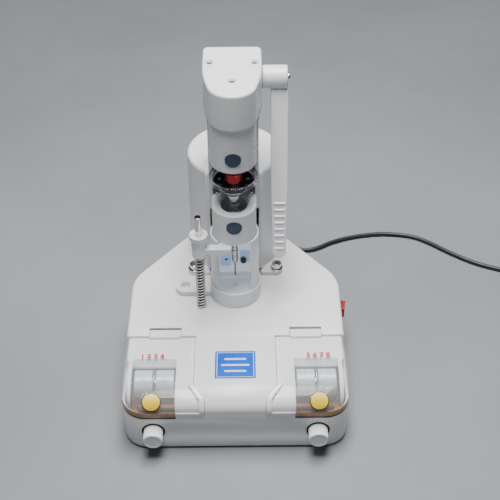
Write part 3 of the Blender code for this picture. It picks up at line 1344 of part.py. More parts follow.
def smooth_route(knots, count, lead):
    """Points on a centripetal Catmull-Rom curve through the knots, evenly spaced but for a short
    first and last step, and the curve's length."""
    knots = [Vector(knot) for knot in knots]
    padded = [2 * knots[0] - knots[1]] + knots + [2 * knots[-1] - knots[-2]]
    dense = []
    for i in range(len(knots) - 1):
        p0, p1, p2, p3 = padded[i:i + 4]
        t1 = (p1 - p0).length**0.5
        t2 = t1 + (p2 - p1).length**0.5
        t3 = t2 + (p3 - p2).length**0.5
        for k in range(COIL_POINTS):
            t = t1 + (t2 - t1) * k / COIL_POINTS
            a1 = p0 * ((t1 - t) / t1) + p1 * (t / t1)
            a2 = p1 * ((t2 - t) / (t2 - t1)) + p2 * ((t - t1) / (t2 - t1))
            a3 = p2 * ((t3 - t) / (t3 - t2)) + p3 * ((t - t2) / (t3 - t2))
            b1 = a1 * ((t2 - t) / t2) + a2 * (t / t2)
            b2 = a2 * ((t3 - t) / (t3 - t1)) + a3 * ((t - t1) / (t3 - t1))
            dense.append(b1 * ((t2 - t) / (t2 - t1)) + b2 * ((t - t1) / (t2 - t1)))
    dense.append(knots[-1])
    lengths = [0.0]
    for a, b in zip(dense, dense[1:]):
        lengths.append(lengths[-1] + (b - a).length)
    points, i = [], 0
    wants = [lead + (lengths[-1] - 2 * lead) * k / (count - 3) for k in range(count - 2)]
    for want in [0, *wants, lengths[-1]]:
        while i < len(dense) - 2 and lengths[i + 1] < want:
            i += 1
        part = (want - lengths[i]) / (lengths[i + 1] - lengths[i])
        points.append(dense[i].lerp(dense[i + 1], part))
    return points, lengths[-1]


def make_cord(root):
    """Strain relief, free cord, its coil on the bench and the plug beside it."""
    centre = (CORD_EXIT[0], 0, CORD_EXIT[1])
    wall = BASE_DEPTH
    bore = CORD_R + GAP
    profile = [
        (RELIEF_R[0], wall - SKIN - GAP),
        (RELIEF_R[0], wall + GAP),
        (RELIEF_COLLAR_R, wall + GAP),
        (RELIEF_COLLAR_R, wall + GAP + RELIEF_COLLAR),
    ]
    start = wall + GAP + RELIEF_COLLAR
    length = RELIEF_LENGTH - RELIEF_COLLAR - GAP
    for i in range(2 * RELIEF_RINGS):
        share = i / (2 * RELIEF_RINGS - 1)
        radius = RELIEF_R[0] + (RELIEF_R[1] - RELIEF_R[0]) * share
        groove = (RELIEF_R[1] - CORD_R) / 3 if i % 2 else 0
        profile.append((radius - groove, start + length * share))
    relief = [(radius, y) for radius, y in profile]
    piece("strain_relief", turned(relief, centre, "Y", SMALL), BLACK, root)

    points, length = smooth_route(CORD_ROUTE, CORD_POINTS, 2 * CORD_R)
    wire("cord", points, CORD_R, 2, BLACK, root)

    x, y = COIL_CENTRE
    low = CORD_R + CORD_LIFT
    coil = [Vector((x - COIL_LEAD, y + COIL_OUTER_R, low))]
    middle = COIL_TURNS / 2
    inner = COIL_OUTER_R - COIL_PITCH * middle
    for i in range(round(COIL_TURNS * COIL_POINTS) + 1):
        gone = i / COIL_POINTS
        radius = inner + COIL_PITCH * abs(gone - middle)
        climb = min(max(2 * (gone - middle) + 1 / 2, 0), 1)
        z = low + COIL_LAYER_RISE * climb * climb * (3 - 2 * climb)
        turn = math.pi / 2 - 2 * math.pi * gone
        coil.append(Vector((x + radius * math.cos(turn), y + radius * math.sin(turn), z)))
    for tail_x, tail_y in COIL_TAIL:
        coil.append(Vector((tail_x, tail_y, coil[-1].z)))
    away = (coil[-1] - coil[-2]).normalized()
    wire("cord_coil", coil, CORD_R, 1, BLACK, root)
    least = least_gap(coil, CORD_R, COIL_POINTS // 2)
    wound = sum((b - a).length for a, b in zip(coil, coil[1:]))
    print(f"cord_coil: least gap to itself {1000 * least:.2f} mm")
    print(f"cord: free {length:.3f} m, wound {wound:.3f} m")
    make_plug(root, coil[-1], away)


def make_plug(root, end, away):
    """Generic moulded plug with two round pins, lying beside the coil."""
    across = Vector((-away.y, away.x, 0))
    width, length, height = PLUG_BODY
    z = height / 2 + CORD_LIFT
    start = end + away * GAP
    neck = max(end.z, z)
    rings = []
    for forward, half_width, half_height, centre_z in (
        (0, PLUG_NECK_R, PLUG_NECK_R, end.z),
        (PLUG_NECK_LENGTH, width / 2 * PLUG_FRONT_SHARE, height / 2 * PLUG_FRONT_SHARE, neck),
        (PLUG_NECK_LENGTH + length / 3, width / 2, height / 2, z),
        (PLUG_NECK_LENGTH + length, width / 2, height / 2, z),
    ):
        ring = []
        for i in range(SMALL):
            turn = 2 * math.pi * (i + 1 / 2) / SMALL
            bulge = 1 / max(abs(math.cos(turn)), abs(math.sin(turn)), PLUG_FRONT_SHARE) ** (1 / 2)
            sideways = half_width * math.cos(turn) * bulge
            upward = half_height * math.sin(turn) * bulge
            sideways = max(-half_width, min(half_width, sideways))
            upward = max(-half_height, min(half_height, upward))
            flat = start + away * forward + across * sideways
            ring.append((flat.x, flat.y, centre_z + upward))
        rings.append(ring)
    plug = piece("plug", loft(rings), BLACK, root)
    face = start + away * (PLUG_NECK_LENGTH + length)
    for side in (-1, 1):
        pin = turned([(PLUG_PIN_R, -OVERRUN), (PLUG_PIN_R, PLUG_PIN_LENGTH - KNOB_EDGE),
                      (PLUG_PIN_R - KNOB_EDGE, PLUG_PIN_LENGTH)], (0, 0, 0), "X", TINY)
        turn = Matrix.Rotation(math.atan2(away.y, away.x), 4, "Z")
        at = face + across * side * PLUG_PIN_SPREAD
        pin.transform(Matrix.Translation(Vector((at.x, at.y, z))) @ turn)
        add(plug, pin)


def build():
    """Build the whole machine."""
    clear_scene()
    machine = pivot("machine", (0, 0, 0), None)
    make_base(machine)
    for side, label in ((-1, "left"), (1, "right")):
        make_bay(side, label, machine)
    make_switch(machine)
    make_work_place(machine)
    make_housing(machine)
    carriage = pivot("carriage", (0, DRILL_Y, CHEEK_BOTTOM_Z), machine)
    make_carriage(carriage)
    make_spindle(pivot("spindle_axis", (0, DRILL_Y, NOSE_Z[0]), carriage))
    make_lever(pivot("lever_axis", (0, PIVOT_Y, PIVOT_Z), carriage))
    nut = pivot("stop_nut_axis", (*STOP_AT, STOP_SLEEVE_Z[1]), machine)
    make_stop(machine, nut)
    make_cord(machine)
    machine.location = (-SWITCH_OUT / 2, -BEHIND_FRONT, 0)


build()
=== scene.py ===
"""Looks of a lens drilling machine: a small bench drill over a white base with two notching bays.

Sizes are millimetres in the machine's own frame: x = 0 on its plane of symmetry, y = 0 on its
front wall and z = 0 on the bench. The machine stands with MIDDLE over the world's origin.
"""

import math

import bpy
import numpy as np
from mathutils import Matrix, Vector


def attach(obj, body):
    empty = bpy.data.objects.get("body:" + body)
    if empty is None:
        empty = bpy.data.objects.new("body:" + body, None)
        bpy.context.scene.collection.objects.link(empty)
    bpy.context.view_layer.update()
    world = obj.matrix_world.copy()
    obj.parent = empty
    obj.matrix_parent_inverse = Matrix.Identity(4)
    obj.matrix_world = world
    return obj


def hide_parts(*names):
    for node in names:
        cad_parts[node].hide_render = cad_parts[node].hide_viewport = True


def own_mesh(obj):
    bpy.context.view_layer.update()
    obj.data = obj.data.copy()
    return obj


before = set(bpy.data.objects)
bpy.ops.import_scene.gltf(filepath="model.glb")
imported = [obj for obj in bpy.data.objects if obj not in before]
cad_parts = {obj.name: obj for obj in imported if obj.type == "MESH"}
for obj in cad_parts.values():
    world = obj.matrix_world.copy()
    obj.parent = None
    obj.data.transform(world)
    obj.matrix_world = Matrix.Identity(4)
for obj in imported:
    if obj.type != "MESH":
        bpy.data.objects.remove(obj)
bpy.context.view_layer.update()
MIDDLE = np.array((-3.6, -125.75, 0.0))

# The stand: a pale matt table top, a wide soft box overhead and a weak one in
# front, and the camera, which looks down at the machine from in front.
CAMERA_AT = (0.0075, -0.74475, 0.755)
CAMERA_TILT_DEG = 50.0
CAMERA_HEADING_DEG = -0.25
CAMERA_ROLL_DEG = -0.35
CAMERA_LENS = 75.6
TABLE_HALF = 3.0
TABLE_PALE = (0.25, 0.26, 0.275)
TABLE_DARKER = (0.22, 0.23, 0.245)
ROOM = (0.86, 0.92, 1.0)
ROOM_STRENGTH = 0.05
SOFT_BOXES = (
    ("box_overhead", (0.02, 0.05, 1.35), (0.0, 0.0, 0.1), (0.5, 1.0), 39.5),
    ("box_front", (0.8, -1.3, 0.9), (0.0, 0.0, 0.1), (0.8, 0.8), 0.3),
)


def workings(material):
    """A material's nodes, its links and its shader."""
    tree = material.node_tree
    return tree.nodes, tree.links, tree.nodes["Principled BSDF"]


def mixed(nodes, links, factor, low, high):
    """A colour that runs from low to high with a factor socket: low + factor * (high - low). Each
    of the two is a colour or another node's socket."""
    mix = nodes.new("ShaderNodeMix")
    mix.data_type = "RGBA"
    for socket, colour in ((mix.inputs[6], low), (mix.inputs[7], high)):
        if isinstance(colour, tuple):
            socket.default_value = (*colour, 1.0)
        else:
            links.new(colour, socket)
    links.new(factor, mix.inputs[0])
    return mix.outputs[2]


def ranged(nodes, links, value, low, high, out_low, out_high):
    """A number mapped from the range low to high onto out_low to out_high, and held there."""
    node = nodes.new("ShaderNodeMapRange")
    for socket, number in zip(("From Min", "From Max", "To Min", "To Max"), (low, high, out_low, out_high)):
        node.inputs[socket].default_value = number
    links.new(value, node.inputs["Value"])
    return node.outputs["Result"]


def noise(nodes, links, place, size_mm, detail=2.0, rough=0.5):
    """Cloudy noise whose cells are about size_mm across, read at a place socket in metres."""
    node = nodes.new("ShaderNodeTexNoise")
    node.inputs["Scale"].default_value = 1000.0 / size_mm
    node.inputs["Detail"].default_value = detail
    node.inputs["Roughness"].default_value = rough
    links.new(place, node.inputs["Vector"])
    return node.outputs["Fac"]


def finish(name, tones, gloss, patch_mm=30.0, grain_mm=0.6, grain_depth_mm=0.02, metallic=0.0):
    """A surface finish. Its colour drifts between two tones over patches of patch_mm, its roughness
    between two values of gloss over a tenth of that, and grain_mm cells give it a bump."""
    material = bpy.data.materials.new(name)
    material.use_nodes = True
    nodes, links, shader = workings(material)
    shader.inputs["Metallic"].default_value = metallic
    place = nodes.new("ShaderNodeTexCoord").outputs["Object"]
    patches = noise(nodes, links, place, patch_mm)
    spread = ranged(nodes, links, patches, 0.35, 0.65, 0.0, 1.0)
    links.new(mixed(nodes, links, spread, *tones), shader.inputs["Base Color"])
    streaks = noise(nodes, links, place, patch_mm / 10.0, detail=3.0)
    links.new(ranged(nodes, links, streaks, 0.3, 0.7, *gloss), shader.inputs["Roughness"])
    bump = nodes.new("ShaderNodeBump")
    bump.inputs["Distance"].default_value = grain_depth_mm / 1000.0
    bump.inputs["Strength"].default_value = 0.5
    links.new(noise(nodes, links, place, grain_mm, detail=1.0), bump.inputs["Height"])
    links.new(bump.outputs["Normal"], shader.inputs["Normal"])
    return material


camera = bpy.data.objects.new("camera", bpy.data.cameras.new("camera"))
turns = ((CAMERA_HEADING_DEG, "Z"), (CAMERA_TILT_DEG, "X"), (CAMERA_ROLL_DEG, "Z"))
heading, tilt, roll = (Matrix.Rotation(math.radians(degrees), 4, axis) for degrees, axis in turns)
camera.matrix_world = Matrix.Translation(CAMERA_AT) @ heading @ tilt @ roll
camera.data.lens = CAMERA_LENS
camera.data.sensor_width = 36.0
bpy.context.scene.collection.objects.link(camera)
bpy.context.scene.camera = camera

room = bpy.data.worlds.new("room")
room.use_nodes = True
backdrop = room.node_tree.nodes["Background"]
backdrop.inputs["Color"].default_value = (*ROOM, 1.0)
backdrop.inputs["Strength"].default_value = ROOM_STRENGTH
bpy.context.scene.world = room

for name, at, aim, size, power in SOFT_BOXES:
    lamp = bpy.data.lights.new(name, "AREA")
    lamp.shape = "RECTANGLE"
    lamp.size, lamp.size_y = size
    lamp.energy = power
    holder = bpy.data.objects.new(name, lamp)
    holder.location = at
    holder.rotation_euler = (Vector(aim) - Vector(at)).to_track_quat("-Z", "Y").to_euler()
    bpy.context.scene.collection.objects.link(holder)

table = bpy.data.meshes.new("table_top")
corners = [(x * TABLE_HALF, y * TABLE_HALF, 0.0) for x, y in ((-1, -1), (1, -1), (1, 1), (-1, 1))]
table.from_pydata(corners, [], [(0, 1, 2, 3)])
table.materials.append(finish("table_matt", (TABLE_DARKER, TABLE_PALE), (0.55, 0.7), 300.0, 1.5, 0.02))
table_top = bpy.data.objects.new("table_top", table)
bpy.context.scene.collection.objects.link(table_top)

# Mains cord: one length of round black PVC lead, 4.5 mm thick. It leaves the
# back wall, runs over the bench to the right, and what is left of it is wound
# in two layers of a flat coil, laid past the edge of the picture.
CORD_R = 2.25
CORD_EXIT = (8.0, 288.3, 18.0)
CORD_ROUTE = (
    CORD_EXIT, (8.1, 294.0, 17.7), (10.0, 303.0, 14.5), (16.5, 311.0, 9.5),
    (26.5, 315.0, 5.6), (37.8, 313.2, 3.2), (47.0, 305.5, 2.55), (53.2, 294.5, 2.55),
    (60.5, 284.3, 2.55), (70.5, 278.0, 2.55), (82.0, 277.2, 2.55), (93.5, 281.8, 2.55), (106.0, 289.5, 2.55),
    (126.8, 297.8, 2.55), (145.0, 302.0, 2.55), (162.5, 304.0, 2.55), (183.9, 302.3, 2.55),
    (200.4, 297.8, 2.55), (216.0, 287.8, 2.55), (236.0, 270.7, 2.55), (260.9, 252.9, 2.55),
    (285.9, 241.5, 2.55), (302.0, 236.8, 2.55), (315.0, 235.4, 2.55),
)
COIL_CENTRE = (320.0, 202.0)
COIL_OUTER_R = 33.4
COIL_PITCH = 5.0
COIL_LAYER_RISE = 5.0
COIL_TURNS = 6.25
COIL_TAIL = ((353.7, 197.0), (355.1, 190.8), (357.4, 184.8), (360.0, 179.0))
CORD_SIDES = 20


def mesh_piece(name, patches, material, sharp_deg=40.0):
    """One object out of grids of points, each an array (rows, columns, 3) in millimetres in the
    machine's frame. Point (i, j) meets (i + 1, j) and (i, j + 1), the last column meets the first,
    a row that shrinks to a point is a pole, and an end row that doesn't is closed flat, unless the
    last row is the first one again."""
    points, faces, first = [], [], 0
    for grid in patches:
        grid = np.asarray(grid, float)
        rows, columns = grid.shape[:2]
        single = np.ptp(grid, axis=1).max(axis=1) < 1e-6
        sizes = np.where(single, 1, columns)
        starts = first + np.concatenate(([0], np.cumsum(sizes)[:-1]))
        index = starts[:, None] + np.where(single[:, None], 0, np.arange(columns)[None, :])
        ring = rows > 3 and np.allclose(grid[0], grid[-1], atol=1e-6)
        if ring:
            index[-1], sizes[-1] = index[0], 0
        points.extend(grid[i, : sizes[i]] for i in range(rows))
        ahead = np.roll(index, -1, axis=1)
        quads = np.stack([index[:-1], ahead[:-1], ahead[1:], index[1:]], axis=-1)
        whole = ~(single[:-1] | single[1:])
        faces += quads[whole].reshape(-1, 4).tolist()
        faces += quads[single[:-1]][..., [0, 2, 3]].reshape(-1, 3).tolist()
        faces += quads[single[1:]][..., [0, 1, 2]].reshape(-1, 3).tolist()
        if not single[0] and not ring:
            faces.append(index[0, ::-1].tolist())
        if not single[-1] and not ring:
            faces.append(index[-1].tolist())
        first = int(starts[-1] + sizes[-1])
    mesh = bpy.data.meshes.new(name)
    mesh.from_pydata(((np.concatenate(points) + MIDDLE) / 1000.0).tolist(), [], faces)
    mesh.validate()
    return shown(name, mesh, material, sharp_deg)


def shown(name, mesh, material, sharp_deg=40.0):
    """Show a mesh as an object at the origin, smooth but for edges sharper than sharp_deg."""
    if signed_volume(mesh) < 0:
        mesh.flip_normals()
    mesh.shade_smooth()
    mesh.set_sharp_from_angle(angle=math.radians(sharp_deg))
    mesh.materials.clear()
    mesh.materials.append(material)
    item = bpy.data.objects.new(name, mesh)
    bpy.context.scene.collection.objects.link(item)
    return item


def signed_volume(mesh):
    """Sum of the faces' signed tetrahedra: positive where the faces point outwards."""
    mesh.calc_loop_triangles()
    corners = np.empty(len(mesh.vertices) * 3)
    mesh.vertices.foreach_get("co", corners)
    triples = np.empty(len(mesh.loop_triangles) * 3, int)
    mesh.loop_triangles.foreach_get("vertices", triples)
    a, b, c = corners.reshape(-1, 3)[triples.reshape(-1, 3)].transpose(1, 0, 2)
    return float((a * np.cross(b, c)).sum())


def carried(item, body, slot, *nodes):
    """The piece rides on a body and stands for these CAD nodes, which it hides; slot is not used."""
    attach(item, body)
    if nodes:
        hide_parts(*nodes)
    return item


def piece(name, patches, material, *carriage):
    """A piece that needs no more work: made, and carried as its last words say."""
    return carried(mesh_piece(name, patches, material), *carriage)


def run_through(knots, step):
    """A centripetal Catmull-Rom curve through knots, as points about step apart.

    Between knots p1 and p2 it is the nested blend of the lines p0p1, p1p2 and p2p3 over knot times
    that grow with the root of each distance."""
    knots = np.asarray(knots, float)
    padded = np.concatenate((2 * knots[:1] - knots[1:2], knots, 2 * knots[-1:] - knots[-2:-1]))
    p0, p1, p2, p3 = padded[:-3, None], padded[1:-2, None], padded[2:-1, None], padded[3:, None]
    t1 = np.sqrt(np.linalg.norm(p1 - p0, axis=-1, keepdims=True))
    t2 = t1 + np.sqrt(np.linalg.norm(p2 - p1, axis=-1, keepdims=True))
    t3 = t2 + np.sqrt(np.linalg.norm(p3 - p2, axis=-1, keepdims=True))
    t = t1 + (t2 - t1) * (np.arange(24) / 24.0)[None, :, None]
    a1 = p0 + (p1 - p0) * t / t1
    a2 = p1 + (p2 - p1) * (t - t1) / (t2 - t1)
    a3 = p2 + (p3 - p2) * (t - t2) / (t3 - t2)
    b1 = a1 + (a2 - a1) * t / t2
    b2 = a2 + (a3 - a2) * (t - t1) / (t3 - t1)
    dense = (b1 + (b2 - b1) * (t - t1) / (t2 - t1)).reshape(-1, 3)
    dense = np.concatenate((dense, knots[-1:]))
    return evenly(dense, step)


def evenly(points, step):
    """The same line with its points a steady distance of about step apart."""
    gone = np.concatenate(([0.0], np.cumsum(np.linalg.norm(np.diff(points, axis=0), axis=1))))
    wanted = np.linspace(0.0, gone[-1], max(2, int(round(gone[-1] / step)) + 1))
    return np.stack([np.interp(wanted, gone, points[:, k]) for k in range(3)], axis=1)


def tube_along(path, radii, sides):
    """A round tube along a path: point (i, j) is path_i + r_i (u_i cos a_j + w_i sin a_j), where u
    and w are square to the path and carried along it with as little twist as can be."""
    path = np.asarray(path, float)
    tangent = np.gradient(path, axis=0)
    tangent /= np.linalg.norm(tangent, axis=1, keepdims=True)
    side = np.cross(tangent[0], (0.0, 0.0, 1.0) if abs(tangent[0][2]) < 0.9 else (1.0, 0.0, 0.0))
    sides_u = []
    for t in tangent:
        side = side - t * (side @ t)
        side = side / np.linalg.norm(side)
        sides_u.append(side)
    u = np.array(sides_u)
    w = np.cross(tangent, u)
    turn = 2 * np.pi * np.arange(sides) / sides
    radii = np.broadcast_to(np.asarray(radii, float), len(path))[:, None, None]
    ring = u[:, None] * np.cos(turn)[None, :, None] + w[:, None] * np.sin(turn)[None, :, None]
    return path[:, None] + radii * ring


def wound_coil():
    """The coil's line: radius inner + pitch |n - N/2| over n of N turns, clockwise from the back,
    and a smooth climb of one layer during the half turn where the spiral turns back."""
    gone = np.arange(int(COIL_TURNS * 48) + 1) / 48.0
    middle = COIL_TURNS / 2
    radius = COIL_OUTER_R - COIL_PITCH * middle + COIL_PITCH * np.abs(gone - middle)
    climb = np.clip(2 * (gone - middle) + 0.5, 0.0, 1.0)
    turn = math.pi / 2 - 2 * math.pi * gone
    x = COIL_CENTRE[0] + radius * np.cos(turn)
    y = COIL_CENTRE[1] + radius * np.sin(turn)
    z = CORD_R + 0.3 + COIL_LAYER_RISE * climb * climb * (3 - 2 * climb)
    return np.stack((x, y, z), axis=1)


coil = wound_coil()
tail = [(x, y, coil[-1, 2]) for x, y in COIL_TAIL]
free = run_through(CORD_ROUTE, 4.0)
cord_line = evenly(np.concatenate((free, coil, run_through([coil[-1], *tail], 4.0)[1:])), 3.0)
pvc = finish("cord_pvc", ((0.010, 0.010, 0.011), (0.018, 0.018, 0.020)), (0.34, 0.46), 12.0, 0.5, 0.015)
mains_cord = mesh_piece("mains_cord", [tube_along(cord_line, CORD_R, CORD_SIDES)], pvc, 60.0)
carried(mains_cord, "base", "black_rubber", "cord", "cord_coil")

# Strain relief: a soft black sleeve with rings cut into it, moulded over the
# lead. Its collar sits outside the back wall and it thins towards its end.
CORD_HOLE = (8.0, 18.0)
RELIEF_Y = (264.0, 288.0)
RELIEF_COLLAR_R = 7.5


def eased(corners, radii, steps=6, hold=0.0, closed=False):
    """A polyline of (a, b) pairs with its corners rounded. A corner becomes an arc tangent to both
    its sides; hold adds a point that far past each end of the arc, so that flats shade flat."""
    corners = np.asarray(corners, float)
    radii = np.broadcast_to(np.asarray(radii, float), len(corners))
    line = []
    for i, corner in enumerate(corners):
        inner = closed or 0 < i < len(corners) - 1
        if not inner or radii[i] <= 0:
            line.append(corner[None])
            continue
        back = corners[i - 1] - corner
        ahead = corners[(i + 1) % len(corners)] - corner
        back_length, ahead_length = np.linalg.norm(back), np.linalg.norm(ahead)
        back, ahead = back / back_length, ahead / ahead_length
        half = math.acos(float(np.clip(back @ ahead, -1, 1))) / 2
        if half > math.pi / 2 - 0.01:
            line.append(corner[None])
            continue
        radius = min(radii[i], 0.49 * min(back_length, ahead_length) * math.tan(half))
        middle = corner + (back + ahead) / np.linalg.norm(back + ahead) * radius / math.sin(half)
        start = (corner + back * radius / math.tan(half) - middle) / radius
        stop = (corner + ahead * radius / math.tan(half) - middle) / radius
        whole = math.pi - 2 * half
        share = np.linspace(0.0, 1.0, steps + 1)[:, None]
        bend = (start * np.sin((1 - share) * whole) + stop * np.sin(share * whole)) / math.sin(whole)
        bend = middle + radius * bend
        if hold > 0:
            reach = radius / math.tan(half)
            before = corner + back * min(reach + hold, 0.5 * back_length)
            after = corner + ahead * min(reach + hold, 0.5 * ahead_length)
            bend = np.concatenate((before[None], bend, after[None]))
        line.append(bend)
    return np.concatenate(line)


def placed(first, second, height, along):
    """Points from their places across and along an axis: (a, b, h) along z, (a, h, b) along y and
    (h, a, b) along x."""
    order = {"z": (first, second, height), "y": (first, height, second), "x": (height, first, second)}
    return np.stack(order[along], axis=-1)


def at_height(outline, height, along="z"):
    """A flat outline as points at one height along an axis."""
    outline = np.asarray(outline, float)
    return placed(*outline.T, np.full(len(outline), height), along)


def arc(radius, start, stop, steps, centre):
    """Points on a circle from one angle to another: (c1 + r cos a, c2 + r sin a)."""
    turn = np.linspace(start, stop, steps + 1)
    return np.column_stack((centre[0] + radius * np.cos(turn), centre[1] + radius * np.sin(turn)))


def round_axis(radius, height, turn, centre, along):
    """Radii and heights carried round an axis: (c1 + r cos a, c2 + r sin a, h)."""
    first = centre[0] + radius * np.cos(turn)
    second = centre[1] + radius * np.sin(turn)
    return placed(first, second, np.broadcast_to(height, first.shape), along)


def turned(profile, centre, along="z", sides=96):
    """A profile of (radius, height) turned round an axis.

    centre is (x, y) for along z, (x, z) for along y and (y, z) for along x."""
    profile = np.asarray(profile, float)
    turn = 2 * np.pi * np.arange(sides) / sides
    return round_axis(profile[:, :1], profile[:, 1:], turn, centre, along)


def bar(radius, low, high):
    """The profile of a plain round bar."""
    return [(0, low), (radius, low), (radius, high), (0, high)]


def pipe(inner, outer, low, high):
    """The profile of a pipe, from its inner foot round and back to it."""
    return [(inner, low), (outer, low), (outer, high), (inner, high), (inner, low)]


wall_y = RELIEF_Y[0]
collar_end = wall_y + 2.7
relief = [(0, wall_y - 2.4), (5.4, wall_y - 2.4), (5.4, wall_y + 0.2), (RELIEF_COLLAR_R, wall_y + 0.2)]
relief += [(RELIEF_COLLAR_R, collar_end)]
for ring in range(6):
    low = collar_end + 0.9 + ring * 3.4
    radius = 5.4 - 0.32 * ring
    relief += [(radius - 1.3, low), (radius, low + 0.3), (radius - 0.05, low + 2.0),
               (radius - 1.3, low + 2.3)]
relief += [(3.5, RELIEF_Y[1] - 1.4), (3.3, RELIEF_Y[1]), (0, RELIEF_Y[1])]
relief_line = eased(relief, 0.35, 3)
rubber = finish("relief_rubber", ((0.012, 0.012, 0.012), (0.022, 0.022, 0.023)), (0.5, 0.62), 8.0, 0.3, 0.02)
strain_relief = mesh_piece("relief_sleeve", [turned(relief_line, CORD_HOLE, "y", 48)], rubber)
carried(strain_relief, "base", "black_rubber", "strain_relief")

# Plug: a plain moulded PVC body with finger ribs on its flanks and two round
# nickelled pins. It lies on the bench beside the coil.
PLUG_MIDDLE_Z = 7.55
PLUG_LENGTH = 46.0
PIN_R = 2.4
PIN_LENGTH = 17.9
PIN_SPREAD = 9.5


def plug_body(start, away):
    """The plug's skin: superellipse rings |y/a|^n + |z/b|^n = 1 whose half sizes and power follow
    the distance from the cord, with a ripple on the flanks over the grip."""
    reach = np.array([0, 0.6, 3, 6, 9, 12, 15, 18, 22, 26, 30, 34, 38, 42, 44.5, 45.6, 46.0])
    reach = np.interp(np.linspace(0, 1, 90), np.linspace(0, 1, len(reach)), reach)
    marks = [0, 0.6, 6, 12, 20, 44.5, 45.6, 46]
    width = np.interp(reach, marks, [3.4, 4.1, 4.6, 7.4, 9.8, 9.8, 9.4, 8.6])
    height = np.interp(reach, marks, [3.4, 4.1, 4.4, 5.4, 7.1, 7.1, 6.7, 5.9])
    centre = np.interp(reach, [0, 12], [start[2], max(start[2], PLUG_MIDDLE_Z)])
    power = np.interp(reach, [0, 8, 20], [2.0, 2.2, 3.4])
    turn = 2 * np.pi * np.arange(64) / 64
    cos, sin = np.cos(turn)[None], np.sin(turn)[None]
    grip = np.where((reach > 21) & (reach < 39), 0.25 * (np.cos((reach - 21) * 2 * np.pi / 3.0) - 1), 0.0)
    across = (width + grip)[:, None] * np.sign(cos) * np.abs(cos) ** (2 / power[:, None])
    up = height[:, None] * np.sign(sin) * np.abs(sin) ** (2 / power[:, None])
    flank = np.array((-away[1], away[0], 0.0))
    flat = np.asarray(start) * (1, 1, 0) + away * reach[:, None]
    rings = flat[:, None] + flank * across[..., None]
    rings[..., 2] += centre[:, None] + up
    return rings


away = cord_line[-1] - cord_line[-2]
away /= np.linalg.norm(away)
plug_skin = plug_body(cord_line[-1] + away * 0.3, away)
plug_body_piece = mesh_piece("plug_body", [plug_skin], pvc)
carried(plug_body_piece, "base", "black_rubber", "plug")
pins = []
for side in (-1, 1):
    root = cord_line[-1] + away * (PLUG_LENGTH - 2.0) + np.array((-away[1], away[0], 0)) * side * PIN_SPREAD
    root[2] = PLUG_MIDDLE_Z
    reach = np.array([0.0, 0.01] + [PIN_LENGTH + more for more in (0.6, 1.2, 1.6, 1.9, 2.0)])
    radii = PIN_R * np.array([0.98, 1.0, 1.0, 0.93, 0.78, 0.5, 0.02])
    pins.append(tube_along(root + away * reach[:, None], radii, 32))
nickel = finish("pin_nickel", ((0.60, 0.58, 0.54), (0.68, 0.66, 0.62)), (0.18, 0.3), 6.0, 0.25, 0.003, 1.0)
plug_pins = mesh_piece("plug_pins", pins, nickel)
carried(plug_pins, "base", "chrome")

# Base: one white ABS moulding, 2.5 mm thick and open below. Its deck falls to
# the front wall in a quarter ellipse; the bays, the knob holes, the switch's
# opening and the cord's hole are cut through it.
BASE_HALF = 102.0
BASE_DEPTH = 264.0
BACK_HALF = 24.7
SHOULDER_Y = 164.7
DECK_Z = 62.0
FRONT_TOP_Z = 47.0
FRONT_FALL = 25.0
SKIN = 2.5
BELOW_Z = -1.5
RIM_R = 3.0
FOOT_Z = 2.5
BAY_SEAT_Z = 44.0
KNOB_AT = (74.0, 23.7)
OVER_DECK_Z = 66.0
ON_DECK_Z = 62.3
WHITE_TONES = ((0.775, 0.785, 0.80), (0.81, 0.815, 0.825))
WHITE_GLOSS = (0.27, 0.36)


def base_plan(draw, front_draw, steps=20):
    """Plan of the base: its six corners moved in by draw (front_draw at the front), each made an
    arc of the corner's radius less draw."""
    corners = np.array([(-BASE_HALF, 0), (BASE_HALF, 0), (BASE_HALF, SHOULDER_Y), (BACK_HALF, BASE_DEPTH),
                        (-BACK_HALF, BASE_DEPTH), (-BASE_HALF, SHOULDER_Y)], float)
    edges = np.roll(corners, -1, axis=0) - corners
    inward = np.stack((-edges[:, 1], edges[:, 0]), axis=1) / np.linalg.norm(edges, axis=1)[:, None]
    offsets = (inward * corners).sum(axis=1) + np.array([front_draw] + [draw] * 5)
    moved = []
    for i in range(6):
        moved.append(np.linalg.solve(np.array([inward[i - 1], inward[i]]), [offsets[i - 1], offsets[i]]))
    radii = np.array([22.0, 22.0, 42.0, 12.0, 12.0, 42.0]) - draw
    return eased(moved, radii, steps, closed=True)


def base_rings(draw, bottom):
    """Rings of the base's form drawn in by draw, from the bottom up. At height z over the fall's
    foot the front stands back by fall * (1 - sqrt(1 - s^2)) with s = (z - foot) / (top - foot), and
    the other walls by rim - sqrt(rim^2 - (z - top + rim)^2) in the last rim of height."""
    top = DECK_Z - draw
    rim = RIM_R - min(draw, RIM_R / 2)
    fall = FRONT_TOP_Z + (top - FRONT_TOP_Z) * np.sin(np.linspace(0, np.pi / 2, 19))
    rims = top - rim + rim * np.sin(np.linspace(0, np.pi / 2, 7))
    heights = np.unique(np.round(np.concatenate(([bottom], fall, rims)), 5))
    rings = []
    for z in heights:
        s = min(max((z - FRONT_TOP_Z) / (top - FRONT_TOP_Z), 0.0), 1.0)
        front = draw + (FRONT_FALL - draw) * (1 - math.sqrt(1 - s * s))
        side = draw + rim - math.sqrt(max(rim**2 - max(z - top + rim, 0.0) ** 2, 0.0))
        rings.append(at_height(base_plan(side, max(front, side)), z))
    return rings


def prism(outline, low, high, along="z"):
    """An outline pushed along an axis, with flat ends; its pairs are (x, y) along z, (y, z) along x
    and (x, z) along y."""
    return np.stack([at_height(outline, h, along) for h in (low, high)])


def block(xs, ys, zs):
    """A straight-edged cutter between two corners."""
    return prism([(xs[0], ys[0]), (xs[1], ys[0]), (xs[1], ys[1]), (xs[0], ys[1])], zs[0], zs[1])


